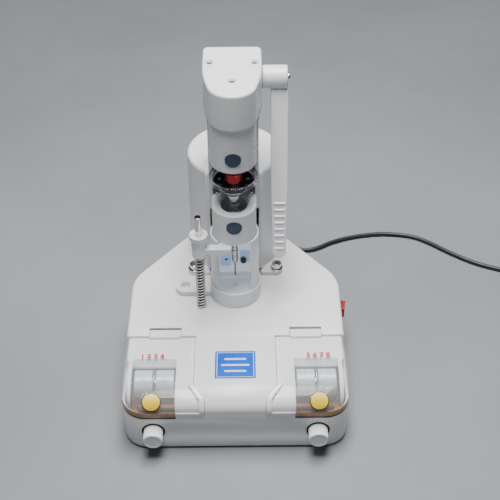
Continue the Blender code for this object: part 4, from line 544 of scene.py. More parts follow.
def joined(item, operation, *grids):
    """Cut item with closed shapes, or fuse them to it, and keep the result as its plain mesh."""
    material = item.data.materials[0]
    others = []
    for grid in grids:
        other = mesh_piece("shaper", [grid], material)
        step = item.modifiers.new("step", "BOOLEAN")
        step.operation = operation
        step.solver = "EXACT"
        step.object = other
        others.append(other)
    settle(item)
    for other in others:
        bpy.data.objects.remove(other, do_unlink=True)
    return item


def settle(item, sharp_deg=35.0):
    """Apply the piece's modifiers: its mesh becomes what they make of it."""
    graph = bpy.context.evaluated_depsgraph_get()
    mesh = bpy.data.meshes.new_from_object(item.evaluated_get(graph), depsgraph=graph)
    item.modifiers.clear()
    item.data = mesh
    mesh.shade_smooth()
    mesh.set_sharp_from_angle(angle=math.radians(sharp_deg))
    return item


def softened(item, width=0.3, segments=2, angle_deg=32.0):
    """Break the piece's sharp edges with a small bevel, as a mould does."""
    bevel = item.modifiers.new("edges", "BEVEL")
    bevel.width = width / 1000.0
    bevel.segments = segments
    bevel.limit_method = "ANGLE"
    bevel.angle_limit = math.radians(angle_deg)
    return settle(item)


def bay_plan(side, draw, out=106.0):
    """Plan of a bay, open past the base's front and side, its seams drawn in by draw."""
    inner, back = 37.0, 83.0
    pairs = [(out, -4.0), (out, back - draw), (inner + draw, back - draw), (inner + draw, 20.0),
             (27.0 + draw, 6.0), (27.0 + draw, -4.0)]
    pairs = eased(pairs, [0, 0, 1.5, 8.0, 3.0, 0], 6, closed=True)
    pairs[:, 0] *= side
    return pairs if side > 0 else pairs[::-1]


def sided(side, low, high):
    """A range of x on one side of the machine, low end first."""
    return sorted((side * low, side * high))


white_abs = finish("white_abs", WHITE_TONES, WHITE_GLOSS, 40.0, 0.45, 0.012)
outer = base_rings(0.0, FOOT_Z)
inner = base_rings(SKIN, FOOT_Z)
lip = base_rings(0.4, FOOT_Z)[:1]
shell_rings = np.stack(inner[::-1] + lip + [outer[0] + (0, 0, 0.4)] + outer[1:])
base_shell = mesh_piece("base_moulding", [shell_rings], white_abs)
cutters = []
for side in (-1, 1):
    cutters.append(prism(bay_plan(side, 0.0), BAY_SEAT_Z, OVER_DECK_Z))
    cutters.append(block(sided(side, 50.8, 80.8), (79.0, 93.8), (55.0, OVER_DECK_Z)))
    cutters.append(turned(bar(10.0, -4, 6.5), (side * KNOB_AT[0], KNOB_AT[1]), "y", 64))
cutters.append(block((95.5, 106.0), (132.4, 150.2), (32.4, 46.6)))
cutters.append(turned(bar(5.8, 257.5, 268.0), CORD_HOLE, "y", 40))
joined(base_shell, "DIFFERENCE", *cutters)
softened(base_shell, 0.35)
carried(base_shell, "base", "white_plastic", "base_shell")

# Bottom plate and feet: a white ABS plate screwed into the base from below,
# and four black rubber buttons stuck to it.
SIDES = ((-1, "left"), (1, "right"))

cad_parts["bottom_plate"].data.materials[0] = finish(
    "plate_abs", ((0.70, 0.71, 0.72), (0.74, 0.75, 0.76)), (0.4, 0.55), 30.0, 0.8, 0.03)
foot_rubber = finish("foot_rubber", ((0.016, 0.016, 0.017), (0.028, 0.028, 0.03)),
                     (0.62, 0.8), 6.0, 0.4, 0.04)
button = eased([(0, 0.5), (4.6, 0.5), (5.0, 0.0), (7.4, 0.0), (8.0, 2.2), (0, 2.2)], 0.4, 4)
for end, x, y in (("front", 80.0, 24.0), ("back", 33.0, 231.0)):
    for side, label in SIDES:
        piece(f"rubber_foot_{end}_{label}", [turned(button, (side * x, y), "z", 64)], foot_rubber, "base",
              "black_rubber", f"foot_{end}_{label}")

# Front knobs: two white ABS knobs, each in one piece with its shaft, with fine
# ridges round the grip and a shallow dish in the face, in front of black rings that are painted shade: the
# shadow in the gap round each knob's hole.
KNOB_R = 8.6
KNOB_RIDGES = 48


def ridged(profile, centre, ridges, depth, low, high, fade=0.5, along="y"):
    """A turned shape whose radius dips by depth * (1 + cos(ridges * a)) / 2 between low and high
    along the axis, fading in and out over fade."""
    profile = np.asarray(profile, float)
    turn = 2 * np.pi * np.arange(ridges * 8) / (ridges * 8)
    held = np.clip((profile[:, 1] - low) / fade, 0, 1) * np.clip((high - profile[:, 1]) / fade, 0, 1)
    radius = profile[:, :1] - depth * held[:, None] * (1 + np.cos(ridges * turn)[None]) / 2
    return round_axis(radius, profile[:, 1:], turn, centre, along)


def densified(profile, step):
    """The same profile with extra points, so that none of its runs is longer than step."""
    line = [profile[:1]]
    for a, b in zip(profile[:-1], profile[1:]):
        count = max(1, int(math.ceil(np.linalg.norm(b - a) / step)))
        line.append(a + (b - a) * (np.arange(1, count + 1) / count)[:, None])
    return np.concatenate(line)


knob_white = finish("knob_abs", ((0.78, 0.79, 0.80), (0.82, 0.825, 0.83)), (0.24, 0.32), 12.0, 0.3, 0.008)
knob_line = eased([(0, -11.9), (6.4, -11.9), (7.0, -12.5), (KNOB_R, -12.5), (KNOB_R, 3.2), (3.0, 3.2),
                   (3.0, 20.0), (0, 20.0)], [0, 0.5, 0.4, 1.0, 0.5, 0.3, 0.4, 0], 5, hold=0.3)
knob_line = densified(knob_line, 1.5)
knob_hole_shade = finish("knob_hole_shade", ((0.012, 0.012, 0.012), (0.02, 0.02, 0.02)), (0.7, 0.9), 3.0, 0.3, 0.05)
for side, label in SIDES:
    at = (side * KNOB_AT[0], KNOB_AT[1])
    # A black ring in the gap round the knob: painted shade of its hole.
    shade_ring = [(9.0, 1.0), (9.0, -0.3), (10.3, -0.3), (10.5, -0.1), (10.5, 1.0), (9.0, 1.0)]
    piece(f"knob_hole_shade_{label}", [turned(shade_ring, at, "y", 72)], knob_hole_shade, "base", "black_rubber")
    grid = ridged(knob_line, at, KNOB_RIDGES, 0.35, -11.2, 2.4)
    piece(f"notch_knob_{label}", [grid], knob_white, f"knob_{label}", "white_plastic", f"front_knob_{label}")

# Mains switch: a black nylon body clipped into the right wall, its bezel
# outside, and a glossy red rocker in it.
SWITCH_FACE = 104.5


def drawn(outline, draw):
    """A closed outline moved in by draw along the mean of its edges' normals."""
    outline = np.asarray(outline, float)
    ahead = np.roll(outline, -1, axis=0) - outline
    ahead /= np.linalg.norm(ahead, axis=1)[:, None] + 1e-12
    back = np.roll(ahead, 1, axis=0)
    mean = ahead + back
    mean /= np.linalg.norm(mean, axis=1)[:, None] + 1e-12
    normal = np.stack((-mean[:, 1], mean[:, 0]), axis=1)
    lean = np.clip((mean * ahead).sum(axis=1), 0.35, 1.0)
    area = (outline[:, 0] * np.roll(outline[:, 1], -1) - outline[:, 1] * np.roll(outline[:, 0], -1)).sum()
    return outline + np.sign(area) * normal * (draw / lean)[:, None]


def slab(outline, low, high, edge_low, edge_high, along="z", steps=4, hold=0.25):
    """An outline pushed from low to high with both rims rounded: ring k is the outline drawn in by
    edge (1 - sin a) at the height edge (1 - cos a) from its face, a from 0 to a quarter turn."""
    turn = np.linspace(0, np.pi / 2, steps + 1)
    levels = []
    for edge, face, way in ((edge_low, low, 1), (edge_high, high, -1)):
        rings = [(0.0, face)]
        if edge > 0:
            rings = [(edge * (1 - math.sin(a)), face + way * edge * (1 - math.cos(a))) for a in turn]
            rings = [(edge + hold, face), *rings, (0.0, face + way * (edge + hold))]
        levels.append(rings)
    return np.stack([at_height(drawn(outline, draw) if draw > 0 else outline, h, along)
                     for draw, h in levels[0] + levels[1][::-1]])


def rounded_box(a, b, radius, steps=6):
    """A rectangle's outline between two corners, (low, high) in each direction, corners rounded."""
    corners = [(a[0], b[0]), (a[1], b[0]), (a[1], b[1]), (a[0], b[1])]
    return eased(corners, radius, steps, closed=True)


switch_nylon = finish("switch_nylon", ((0.012, 0.012, 0.013), (0.02, 0.02, 0.021)),
                      (0.35, 0.45), 8.0, 0.3, 0.015)
bezel = slab(rounded_box((130.8, 151.8), (30.8, 48.2), 1.0), 102.3, SWITCH_FACE, 0.0, 0.8, "x")
switch_body = mesh_piece("switch_bezel", [bezel], switch_nylon)
joined(switch_body, "UNION", prism(rounded_box((132.7, 149.9), (32.7, 46.3), 0.6), 80.0, 103.0, "x"))
joined(switch_body, "DIFFERENCE", prism(rounded_box((133.7, 148.9), (33.7, 45.3), 0.5), 100.5, 108.0, "x"))
carried(switch_body, "base", "black_plastic", "switch_body")
rocker_red = finish("rocker_red", ((0.42, 0.012, 0.012), (0.50, 0.02, 0.018)), (0.12, 0.2), 8.0, 0.3, 0.004)
saddle = eased([(109.2, 147.3), (107.05, 141.3), (107.3, 135.3), (102.35, 134.3), (101.5, 141.3),
                (104.25, 148.3)], [0.7, 6.0, 0.7, 0.3, 3.0, 0.3], 8, closed=True)
piece("rocker_cap", [slab(saddle, 34.0, 45.0, 0.45, 0.45)], rocker_red, "rocker", "red_plastic",
      "switch_rocker")

# Deck label: a plain blue printed foil stuck on the deck between the bays,
# with a white frame line and three white bars.
LABEL_X = (-18.5, 18.5)
LABEL_Y = (28.0, 62.0)


def band(outer, inner, low, high):
    """A flat closed strip between two outlines of equal length: its section is the rectangle
    outer-inner by low-high, carried round."""
    corners = ((outer, low), (outer, high), (inner, high), (inner, low), (outer, low))
    return np.stack([at_height(*corner) for corner in corners])


def tuned(material, values):
    """The same finish with some of its shader's own sockets set."""
    for socket, value in values.items():
        workings(material)[2].inputs[socket].default_value = value
    return material


label_blue = finish("label_blue", ((0.0, 0.10, 0.58), (0.0, 0.125, 0.66)), (0.4, 0.5), 14.0, 0.5, 0.006)
tuned(label_blue, {"Specular IOR Level": 0.15})
mark_white = finish("mark_white", ((0.75, 0.75, 0.74), (0.8, 0.8, 0.79)), (0.4, 0.5), 4.0, 0.3, 0.004)
label_plan = rounded_box(LABEL_X, LABEL_Y, 0.8)
piece("deck_label", [slab(label_plan, 62.02, 62.16, 0.0, 0.05)], label_blue, "base", "navy_plastic")
label_marks = [band(drawn(label_plan, 1.6), drawn(label_plan, 2.1), 62.12, 62.2)]
for y, half in ((52.0, 10.0), (44.5, 13.0), (37.0, 10.0)):
    label_marks.append(slab(rounded_box((-half, half), (y - 1.1, y + 1.1), 1.0), 62.12, 62.2, 0.0, 0.02))
piece("label_marks", label_marks, mark_white, "base", "white_plastic")

# Bay frames: white ABS liners that follow the deck and the fall under the
# clear covers, each with a window down to the rollers.
WINDOW_X = (53.7, 93.7)
WINDOW_BACK_Y = 50.4
APRON_RUN = 4.6
APRON_LOW_Z = 52.0
SIDE_FROM_X = 97.4
SIDE_BACK_Y = 54.0


def bay_liner(side, draw, thick, low, name, material):
    """The slice of the base's form between draw and draw + thick, inside a bay's plan."""
    item = mesh_piece(name, [prism(bay_plan(side, 0.4), low, OVER_DECK_Z)], material)
    joined(item, "INTERSECT", np.stack(base_rings(draw, FOOT_Z)))
    return joined(item, "DIFFERENCE", np.stack(base_rings(draw + thick, BELOW_Z)))


frame_white = finish("frame_abs", ((0.76, 0.77, 0.785), (0.80, 0.81, 0.82)), (0.34, 0.46), 25.0, 0.5, 0.015)
for side, label in SIDES:
    liner = bay_liner(side, 2.3, 2.0, 44.3, f"bay_liner_{label}", frame_white)
    opening = rounded_box(sided(side, *WINDOW_X), (-6.0, WINDOW_BACK_Y + APRON_RUN), 0.6)
    outside = rounded_box(sided(side, SIDE_FROM_X, 112.0), (-10.0, SIDE_BACK_Y), 3.0)
    joined(liner, "DIFFERENCE", prism(opening, 20.0, OVER_DECK_Z), prism(outside, 20.0, OVER_DECK_Z))
    apron_back = WINDOW_BACK_Y + APRON_RUN + 1.0
    apron = [(apron_back, 59.6), (apron_back - 0.8, 59.6), (WINDOW_BACK_Y, APRON_LOW_Z + 2.2),
             (WINDOW_BACK_Y, APRON_LOW_Z), (apron_back, 58.0)]
    low, high = sided(side, WINDOW_X[0] - 0.5, WINDOW_X[1] + 0.5)
    joined(liner, "UNION", slab(apron[::-1], low, high, 0.1, 0.1, "x"))
    softened(liner, 0.25)
    carried(liner, "base", "white_plastic", f"bay_frame_{label}")

# Chip trays: brown lacquered sheet trays under the rollers, dusted with pale
# grindings of lens plastic. The solids' own shape is right and is kept. Each
# tray's edge shows as a brown strip on the front wall, set in a black strip that is painted shade: the dark
# gap round the tray's edge.
tray_finish = finish("tray_lacquer", ((0.32, 0.13, 0.04), (0.44, 0.21, 0.075)), (0.25, 0.4), 9.0, 0.4, 0.02)
nodes, links, shader = workings(tray_finish)
place = nodes.new("ShaderNodeTexCoord").outputs["Object"]
dust = ranged(nodes, links, noise(nodes, links, place, 1.1, 4.0, 0.7), 0.60, 0.70, 0.0, 1.0)
lacquer = shader.inputs["Base Color"].links[0].from_socket
links.new(mixed(nodes, links, dust, lacquer, (0.62, 0.60, 0.56)), shader.inputs["Base Color"])
for label in ("left", "right"):
    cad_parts[f"chip_tray_{label}"].data.materials[0] = tray_finish


def wall_strip(plan, low, high, proud, name, material):
    """A strip that follows the base's wall inside a plan between two heights, proud of its face."""
    item = mesh_piece(name, [prism(plan, low, high)], material)
    joined(item, "INTERSECT", np.stack(base_rings(-proud, FOOT_Z)))
    return joined(item, "DIFFERENCE", np.stack(base_rings(0.3, BELOW_Z)))


# A black strip on the front wall round each tray's edge: painted shade of the gap there.
gap_shade_black = finish("gap_shade_black", ((0.014, 0.013, 0.013), (0.024, 0.022, 0.022)), (0.4, 0.55), 5.0, 0.4, 0.01)
tray_edge = finish("tray_edge", ((0.36, 0.17, 0.07), (0.46, 0.25, 0.13)), (0.2, 0.35), 7.0, 0.4, 0.01)
for side, label in SIDES:
    front_corner = rounded_box(sided(side, WINDOW_X[0] - 0.6, 112.0), (-12.0, 17.0), 0.2)
    carried(wall_strip(front_corner, 40.2, 47.3, 0.15, f"tray_gap_shade_{label}", gap_shade_black), "base",
            "black_plastic")
    carried(wall_strip(front_corner, 42.6, 46.9, 0.4, f"tray_lip_{label}", tray_edge), "base", "brown_tray")
    foot = wall_strip(bay_plan(side, 0.4), 41.4, 47.3, 0.4, f"frame_foot_{label}", frame_white)
    joined(foot, "DIFFERENCE",
           prism(rounded_box(sided(side, WINDOW_X[0] - 0.7, 114.0), (-14.0, 84.0), 0.2), 30.0, 60.0))
    softened(foot, 0.2)
    carried(foot, "base", "white_plastic")

# Guide rollers and notching discs: on each steel spindle two rollers turned
# from milky nylon bar carry the lens, and a thin coated steel disc between
# them cuts the notch.
ROLLER_AT = (38.0, 45.0)
ROLLER_R = 12.5
DISC_R = 13.6


def brushed(name, tones, gloss, lines_mm, centre, along, depth_mm=0.004):
    """Turned metal: finish with rings round an axis, one every lines_mm, in its roughness and bump."""
    material = finish(name, tones, gloss, 8.0, 0.25, 0.002, 1.0)
    nodes, links, shader = workings(material)
    place = nodes.new("ShaderNodeTexCoord").outputs["Object"]
    moved = nodes.new("ShaderNodeMapping")
    moved.inputs["Location"].default_value = [-c for c in (np.asarray(centre) + MIDDLE) / 1000.0]
    links.new(place, moved.inputs["Vector"])
    rings = nodes.new("ShaderNodeTexWave")
    rings.wave_type = "RINGS"
    rings.rings_direction = along.upper()
    rings.inputs["Scale"].default_value = 1000.0 / lines_mm / 20.0
    rings.inputs["Distortion"].default_value = 0.6
    rings.inputs["Detail"].default_value = 2.0
    links.new(moved.outputs["Vector"], rings.inputs["Vector"])
    links.new(ranged(nodes, links, rings.outputs["Fac"], 0.0, 1.0, *gloss), shader.inputs["Roughness"])
    bump = nodes["Bump"]
    bump.inputs["Distance"].default_value = depth_mm / 1000.0
    links.new(rings.outputs["Fac"], bump.inputs["Height"])
    return material


nylon = finish("milky_nylon", ((0.50, 0.56, 0.64), (0.57, 0.62, 0.69)), (0.14, 0.22), 12.0, 0.3, 0.006)
tuned(nylon, {"Subsurface Weight": 0.25, "Subsurface Radius": (0.003, 0.003, 0.003)})
grit_steel = brushed("disc_steel", ((0.50, 0.50, 0.51), (0.60, 0.60, 0.60)),
                     (0.25, 0.45), 0.5, (0, *ROLLER_AT), "x")
spindle_steel = finish("notch_spindle_steel", ((0.55, 0.55, 0.56), (0.64, 0.64, 0.65)),
                       (0.18, 0.3), 5.0, 0.2, 0.002, 1.0)
for side, label in SIDES:
    rollers = []
    for low, high in ((55.5, 72.0), (75.0, 91.5)):
        middle = (low + high) / 2
        line = [(2.05, low), (5.0, low), (5.4, low + 0.8), (9.6, low + 0.8), (10.0, low), (ROLLER_R, low),
                (ROLLER_R, middle - 0.5), (ROLLER_R - 0.35, middle - 0.3), (ROLLER_R - 0.35, middle + 0.3),
                (ROLLER_R, middle + 0.5), (ROLLER_R, high), (10.0, high), (9.6, high - 0.8),
                (5.4, high - 0.8), (5.0, high), (2.05, high), (2.05, low)]
        line = eased(line, [0, .2, .3, .3, .2, .7, .1, .1, .1, .1, .7, .2, .3, .3, .2, 0, 0], 4, hold=0.2)
        rollers.append(turned(line * (1, side), ROLLER_AT, "x", 112))
    piece(f"roller_pair_{label}", rollers, nylon, f"notcher_{label}", "nylon", f"guide_rollers_{label}")
    rod = eased([(0, 45.5), (2.0, 45.5), (2.0, 72.1), (6.0, 72.1), (6.0, 74.9), (2.0, 74.9), (2.0, 96.2),
                 (0, 96.2)], 0.25, 3)
    piece(f"notch_spindle_{label}", [turned(rod * (1, side), ROLLER_AT, "x", 48)], spindle_steel,
          f"notcher_{label}", "steel")
    rim = [(6.3, 73.1), (13.2, 73.1), (DISC_R, 73.35), (DISC_R, 73.65), (13.2, 73.9),
           (6.3, 73.9), (6.3, 73.1)]
    piece(f"cutting_disc_{label}", [turned(np.array(rim) * (1, side), ROLLER_AT, "x", 144)], grit_steel,
          f"notcher_{label}", "steel", f"notch_disc_{label}")

# Notching motors: drawn steel cans lying under the deck, one to each spindle.
# Their solids are kept.
can_steel = finish("motor_can", ((0.44, 0.44, 0.45), (0.52, 0.52, 0.53)), (0.28, 0.42), 14.0, 0.3, 0.004, 1.0)
for label in ("left", "right"):
    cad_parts[f"notch_motor_{label}"].data.materials[0] = can_steel

# Bay covers: clear acrylic, 2 mm thick, moulded to the deck, the fall and the
# side wall, with a white bead on the rim. Each turns on a barrel behind its
# back edge and bears plain red figures and a yellow dot.
HINGE_X = (51.2, 80.4)
HINGE_AT = (90.0, 60.0)
DOT_R = 8.6
DOT_X = 74.4


def on_fall(x, run, lift):
    """Points on the front fall: x across and run along its curve from the deck's front rim, lifted
    off along the normal. The curve is (25 (1 - cos t), 47 + 15 sin t), t by its arc length."""
    t = np.linspace(np.pi / 2, 0, 400)
    y, z = FRONT_FALL * (1 - np.cos(t)), FRONT_TOP_Z + (DECK_Z - FRONT_TOP_Z) * np.sin(t)
    gone = np.concatenate(([0.0], np.cumsum(np.hypot(np.diff(y), np.diff(z)))))
    at = np.interp(run, gone, t)
    y, z = FRONT_FALL * (1 - np.cos(at)), FRONT_TOP_Z + (DECK_Z - FRONT_TOP_Z) * np.sin(at)
    normal = np.stack((-(DECK_Z - FRONT_TOP_Z) * np.cos(at), FRONT_FALL * np.sin(at)))
    normal = normal / np.hypot(*normal)
    return np.stack((x + 0 * y, y + lift * normal[0], z + lift * normal[1]), axis=-1)


def dot_on_fall(x, run, radius, low, high):
    """A round sticker bent over the fall: polar rows out over its face and back under it."""
    turn = 2 * np.pi * np.arange(64) / 64
    rows = []
    out = [(radius * k / 6, high) for k in range(7)]
    for r, lift in out + [(r, low) for r, _ in out[::-1]]:
        rows.append(on_fall(x + r * np.cos(turn), run + r * np.sin(turn), lift))
    return np.stack(rows)


def lettered(name, text, height, centre, z, material):
    """Plain figures of a given height, flat and facing up, 0.08 mm thick, centred on a point."""
    curve = bpy.data.curves.new(name, "FONT")
    curve.body = text
    curve.size = height * 1.38 / 1000.0
    curve.extrude = 0.00004
    curve.offset = 0.00025
    curve.align_x = "CENTER"
    curve.align_y = "CENTER"
    curve.resolution_u = 6
    plain = bpy.data.objects.new(name, curve)
    bpy.context.scene.collection.objects.link(plain)
    graph = bpy.context.evaluated_depsgraph_get()
    mesh = bpy.data.meshes.new_from_object(plain.evaluated_get(graph), depsgraph=graph)
    bpy.data.objects.remove(plain, do_unlink=True)
    spots = np.empty(len(mesh.vertices) * 3)
    mesh.vertices.foreach_get("co", spots)
    spots = spots.reshape(-1, 3) + (np.array((*centre, z)) + MIDDLE) / 1000.0
    mesh.vertices.foreach_set("co", spots.ravel())
    return shown(name, mesh, material, 30.0)


acrylic = finish("clear_acrylic", ((0.90, 0.92, 0.93), (0.94, 0.95, 0.96)), (0.02, 0.05), 30.0, 14.0, 0.03)
tuned(acrylic, {"Alpha": 0.1, "IOR": 1.49, "Specular IOR Level": 1.0})
bead_white = finish("bead_white", ((0.80, 0.81, 0.83), (0.84, 0.85, 0.87)), (0.1, 0.16), 20.0, 0.6, 0.004)
red_print = finish("red_print", ((0.62, 0.012, 0.03), (0.70, 0.02, 0.04)), (0.35, 0.5), 3.0, 0.3, 0.003)
dot_yellow = finish("dot_yellow", ((0.80, 0.55, 0.02), (0.86, 0.62, 0.03)), (0.3, 0.45), 5.0, 0.4, 0.004)
dot_edge = finish("dot_edge", ((0.02, 0.018, 0.015), (0.035, 0.03, 0.025)), (0.4, 0.55), 5.0, 0.4, 0.004)
for side, label, number in ((-1, "left", "1 2 3 4"), (1, "right", "5 6 7 8")):
    carried(bay_liner(side, 0.0, 2.0, 47.5, f"clear_cover_{label}", acrylic), f"cover_{label}",
            "clear_plastic", f"bay_cover_{label}")
    bead = mesh_piece(f"cover_bead_{label}", [prism(bay_plan(side, 0.5), 47.6, OVER_DECK_Z)], bead_white)
    joined(bead, "INTERSECT", np.stack(base_rings(-0.7, FOOT_Z)))
    joined(bead, "DIFFERENCE", np.stack(base_rings(0.2, BELOW_Z)), prism(bay_plan(side, 5.0), 40.0, 70.0))
    joined(bead, "DIFFERENCE", *[prism(rounded_box(sided(side, near, 114.0), (front, 90.0), 0.2), 40.0, 70.0)
                                 for near, front in ((49.0, -14.0), (20.0, 66.0))])
    softened(bead, 0.45, 3)
    carried(bead, f"cover_{label}", "white_plastic")
    tab = slab(rounded_box(sided(side, *HINGE_X), (80.6, 90.0), 0.6), 59.9, 62.35, 0.0, 0.5)
    hinge = mesh_piece(f"cover_hinge_{label}", [tab], white_abs, 30.0)
    barrel = turned(eased(bar(2.0, HINGE_X[0] * side, HINGE_X[1] * side), 0.2, 3), HINGE_AT, "x", 40)
    pin = turned(bar(0.95, 48.4 * side, 83.2 * side), HINGE_AT, "x", 24)
    joined(hinge, "UNION", barrel, pin)
    softened(hinge, 0.15)
    carried(hinge, f"cover_{label}", "white_plastic")
    carried(lettered(f"bay_number_{label}", number, 5.6, (side * 76.0, 56.5), 62.06, red_print),
            f"cover_{label}", "red_plastic")
    piece(f"dot_rim_{label}", [dot_on_fall(side * DOT_X, 20.5, DOT_R, 0.02, 0.08)], dot_edge,
          f"cover_{label}", "black_plastic")
    piece(f"yellow_dot_{label}", [dot_on_fall(side * DOT_X, 20.5, DOT_R - 0.9, 0.06, 0.14)], dot_yellow,
          f"cover_{label}", "white_plastic")

# Work place: a white ABS collar with a drilled ear, set on the deck; in it
# the tube of the open column and the turned nylon pad that carries the lens.
DRILL_AT = (0.0, 144.5)
EAR_AT = (-49.0, 147.5)

collar_line = [(4.0, ON_DECK_Z), (24.8, ON_DECK_Z), (24.8, 79.0), (23.3, 79.0), (23.3, 66.3), (4.0, 66.3),
               (4.0, ON_DECK_Z)]
collar_line = eased(collar_line, [0, 0.4, 0.6, 0.5, 0.3, 0.3, 0], 5, hold=0.3)
collar = mesh_piece("work_ring", [turned(collar_line, DRILL_AT, "z", 144)], white_abs)
ear = [(-21.5, 137.5), (-21.5, 157.5), *arc(10.0, math.pi / 2, 1.5 * math.pi, 32, EAR_AT)]
joined(collar, "UNION", slab(ear, ON_DECK_Z, 68.0, 0.3, 0.7))
joined(collar, "DIFFERENCE", turned([(0, 67.0), (4.5, 67.0), (5.0, 68.5), (0, 68.5)], EAR_AT, "z", 48),
       turned(bar(4.5, 60.0, 67.5), EAR_AT, "z", 48),
       turned(bar(23.3, 66.3, 84.0), DRILL_AT, "z", 144))
carried(collar, "base", "white_enamel", "work_collar")

column_line = eased(pipe(21.2, 23.0, 66.6, 138.0), [0, 0.3, 0.3, 0.3, 0], 3, hold=0.2)
column = mesh_piece("open_column", [turned(column_line, DRILL_AT, "z", 144)], white_abs)
joined(column, "DIFFERENCE", prism(rounded_box((-15.5, 15.5), (77.5, 150.0), 2.5), 110.0, 144.5, "y"))
softened(column, 0.3)
carried(column, "base", "white_enamel", "drill_column")

pad_line = [(2.2, 66.6), (20.9, 66.6), (20.9, 70.0), (19.6, 70.0), (19.3, 69.6), (8.2, 69.6), (7.9, 70.0),
            (2.2, 70.0), (2.2, 66.6)]
pad_line = eased(pad_line, [0, 0.3, 0.5, 0.15, 0.15, 0.15, 0.15, 0.3, 0], 4, hold=0.2)


def painted_lamplight(material, colour, strength):
    """The same finish with a faint glow: painted light that stands for a work lamp's light falling on it."""
    return tuned(material, {"Emission Color": (*colour, 1.0), "Emission Strength": strength})


pad_nylon = finish("pad_nylon", ((0.72, 0.76, 0.79), (0.78, 0.81, 0.84)), (0.3, 0.42), 12.0, 0.3, 0.006)
# The pad is given a faint pale glow: painted light that stands for the work lamp's light on it.
painted_lamplight(pad_nylon, (0.80, 0.88, 0.94), 0.16)
piece("lens_pad", [turned(pad_line, DRILL_AT, "z", 128)], pad_nylon, "base", "nylon", "work_pad")

# Column panel: a white plate behind the drill with two pale blue fields, a
# grey step at its foot, a small blue lens and a navy knob in a brass ring. The
# plate, its fields and its step are given a faint glow: painted light that stands for a work lamp lighting
# the work place.
DIAL_AT = (8.0, 92.5)
LAMP_AT = (-8.5, 92.5)

panel_white = finish("panel_abs", ((0.74, 0.76, 0.79), (0.79, 0.80, 0.82)), (0.3, 0.4), 18.0, 0.4, 0.01)
panel_blue = finish("panel_blue", ((0.40, 0.55, 0.78), (0.46, 0.60, 0.82)), (0.3, 0.4), 12.0, 0.4, 0.004)
# Painted light: the plate, its fields and its step glow faintly, standing for the work lamp's light on them.
painted_lamplight(panel_white, (0.86, 0.93, 1.0), 0.4)
painted_lamplight(panel_blue, (0.36, 0.56, 0.95), 0.4)
piece("back_panel", [slab(rounded_box((-15.2, 15.2), (70.3, 122.0), 0.8), 157.0, 158.5, 0.2, 0.0, "y")],
      panel_white, "base", "white_plastic", "column_panel")
fields = [slab(rounded_box(xs, (low, 104.0), 0.8), 156.85, 157.0, 0.05, 0.0, "y")
          for xs, low in (((-14.4, -4.0), 84.0), ((4.4, 14.4), 88.0))]
piece("panel_fields", fields, panel_blue, "base", "white_plastic")
step_grey = finish("panel_step_abs", ((0.70, 0.75, 0.80), (0.75, 0.79, 0.83)), (0.35, 0.45), 12.0, 0.4, 0.006)
painted_lamplight(step_grey, (0.78, 0.87, 0.95), 0.2)
piece("panel_step", [slab(rounded_box((-15.2, 15.2), (70.4, 76.6), 0.4), 156.2, 157.0, 0.2, 0.0, "y")],
      step_grey, "base", "white_plastic")
navy = finish("navy_plastic", ((0.022, 0.04, 0.085), (0.035, 0.055, 0.11)), (0.4, 0.52), 5.0, 0.35, 0.03)
brass = finish("brass", ((0.62, 0.45, 0.18), (0.72, 0.54, 0.24)), (0.2, 0.32), 3.0, 0.2, 0.003, 1.0)
dial_line = [(0, 153.0), (2.75, 153.0), (2.75, 156.3), (1.0, 156.3), (1.0, 158.5), (0, 158.5)]
dial_line = densified(eased(dial_line, [0, 0.7, 0.1, 0.1, 0, 0], 5), 0.8)
piece("panel_dial", [ridged(dial_line, DIAL_AT, 20, 0.22, 153.7, 156.2, 0.3)], navy, "base", "navy_plastic",
      "panel_knob")
ring_line = eased(pipe(2.9, 3.7, 156.86, 156.4), [0, 0.1, 0.15, 0.1, 0], 3)
piece("dial_ring", [turned(ring_line, DIAL_AT, "y", 48)], brass, "base", "chrome")
lens_line = eased([(0, 156.0), (0.9, 156.1), (1.5, 156.7), (1.5, 157.0), (0, 157.0)], [0, 0.8, 0.3, 0, 0], 4)
blue_lens = finish("blue_lens", ((0.03, 0.12, 0.62), (0.04, 0.16, 0.75)), (0.08, 0.15), 3.0, 0.3, 0.003)
piece("panel_lamp", [turned(lens_line, LAMP_AT, "y", 36)], blue_lens, "base", "navy_plastic")

# Rear housing: a tall white ABS hood, closed on top and slotted in front for
# the slide, on a flange held by two socket screws. The transformer inside and
# the slide's block, rack and pinion keep their solids.
HOUSING_AT = (0.0, 213.0)
SLOT_HALF = 25.8
SLOT_BACK_Y = 206.8
BOLT_AT = (40.8, 174.0)

hood_line = [(0, 183.6), (44.8, 183.6), (45.45, 66.0), (48.5, 66.0), (48.5, ON_DECK_Z), (43.0, ON_DECK_Z),
             (42.3, 181.1), (0, 181.1)]
hood_line = densified(eased(hood_line, [0, 4.0, 1.6, 0.8, 0.2, 0.3, 2.0, 0], 8, hold=0.5), 12.0)
housing = mesh_piece("rear_hood", [turned(hood_line, HOUSING_AT, "z", 160)], white_abs)
flange = eased([(-47, 168), (47, 168), (47, 213), (-47, 213)], [6.0, 6.0, 0, 0], 10, closed=True)
joined(housing, "UNION", slab(flange, ON_DECK_Z, 66.0, 0.2, 0.8))
hollow = [(0, 58.0), (43.02, 58.0), (42.32, 179.0), (40.3, 181.0), (0, 181.0)]
joined(housing, "DIFFERENCE", turned(hollow, HOUSING_AT, "z", 160),
       block((-SLOT_HALF, SLOT_HALF), (160.0, SLOT_BACK_Y), (58.0, 190.0)),
       *[turned(bar(2.8, 58.0, 70.0), (side * BOLT_AT[0], BOLT_AT[1]), "z", 32) for side in (-1, 1)])
softened(housing, 0.4)
carried(housing, "base", "white_enamel", "rear_housing")
for side, label in SIDES:
    lip = mesh_piece(f"slot_lip_{label}",
                     [block(sided(side, 23.2, 27.0), (172.4, 173.6), (67.0, 182.0))], white_abs)
    joined(lip, "UNION", block(sided(side, 23.2, 26.6), (172.8, 206.9), (180.6, 183.1)))
    softened(lip, 0.4)
    carried(lip, "base", "white_plastic")

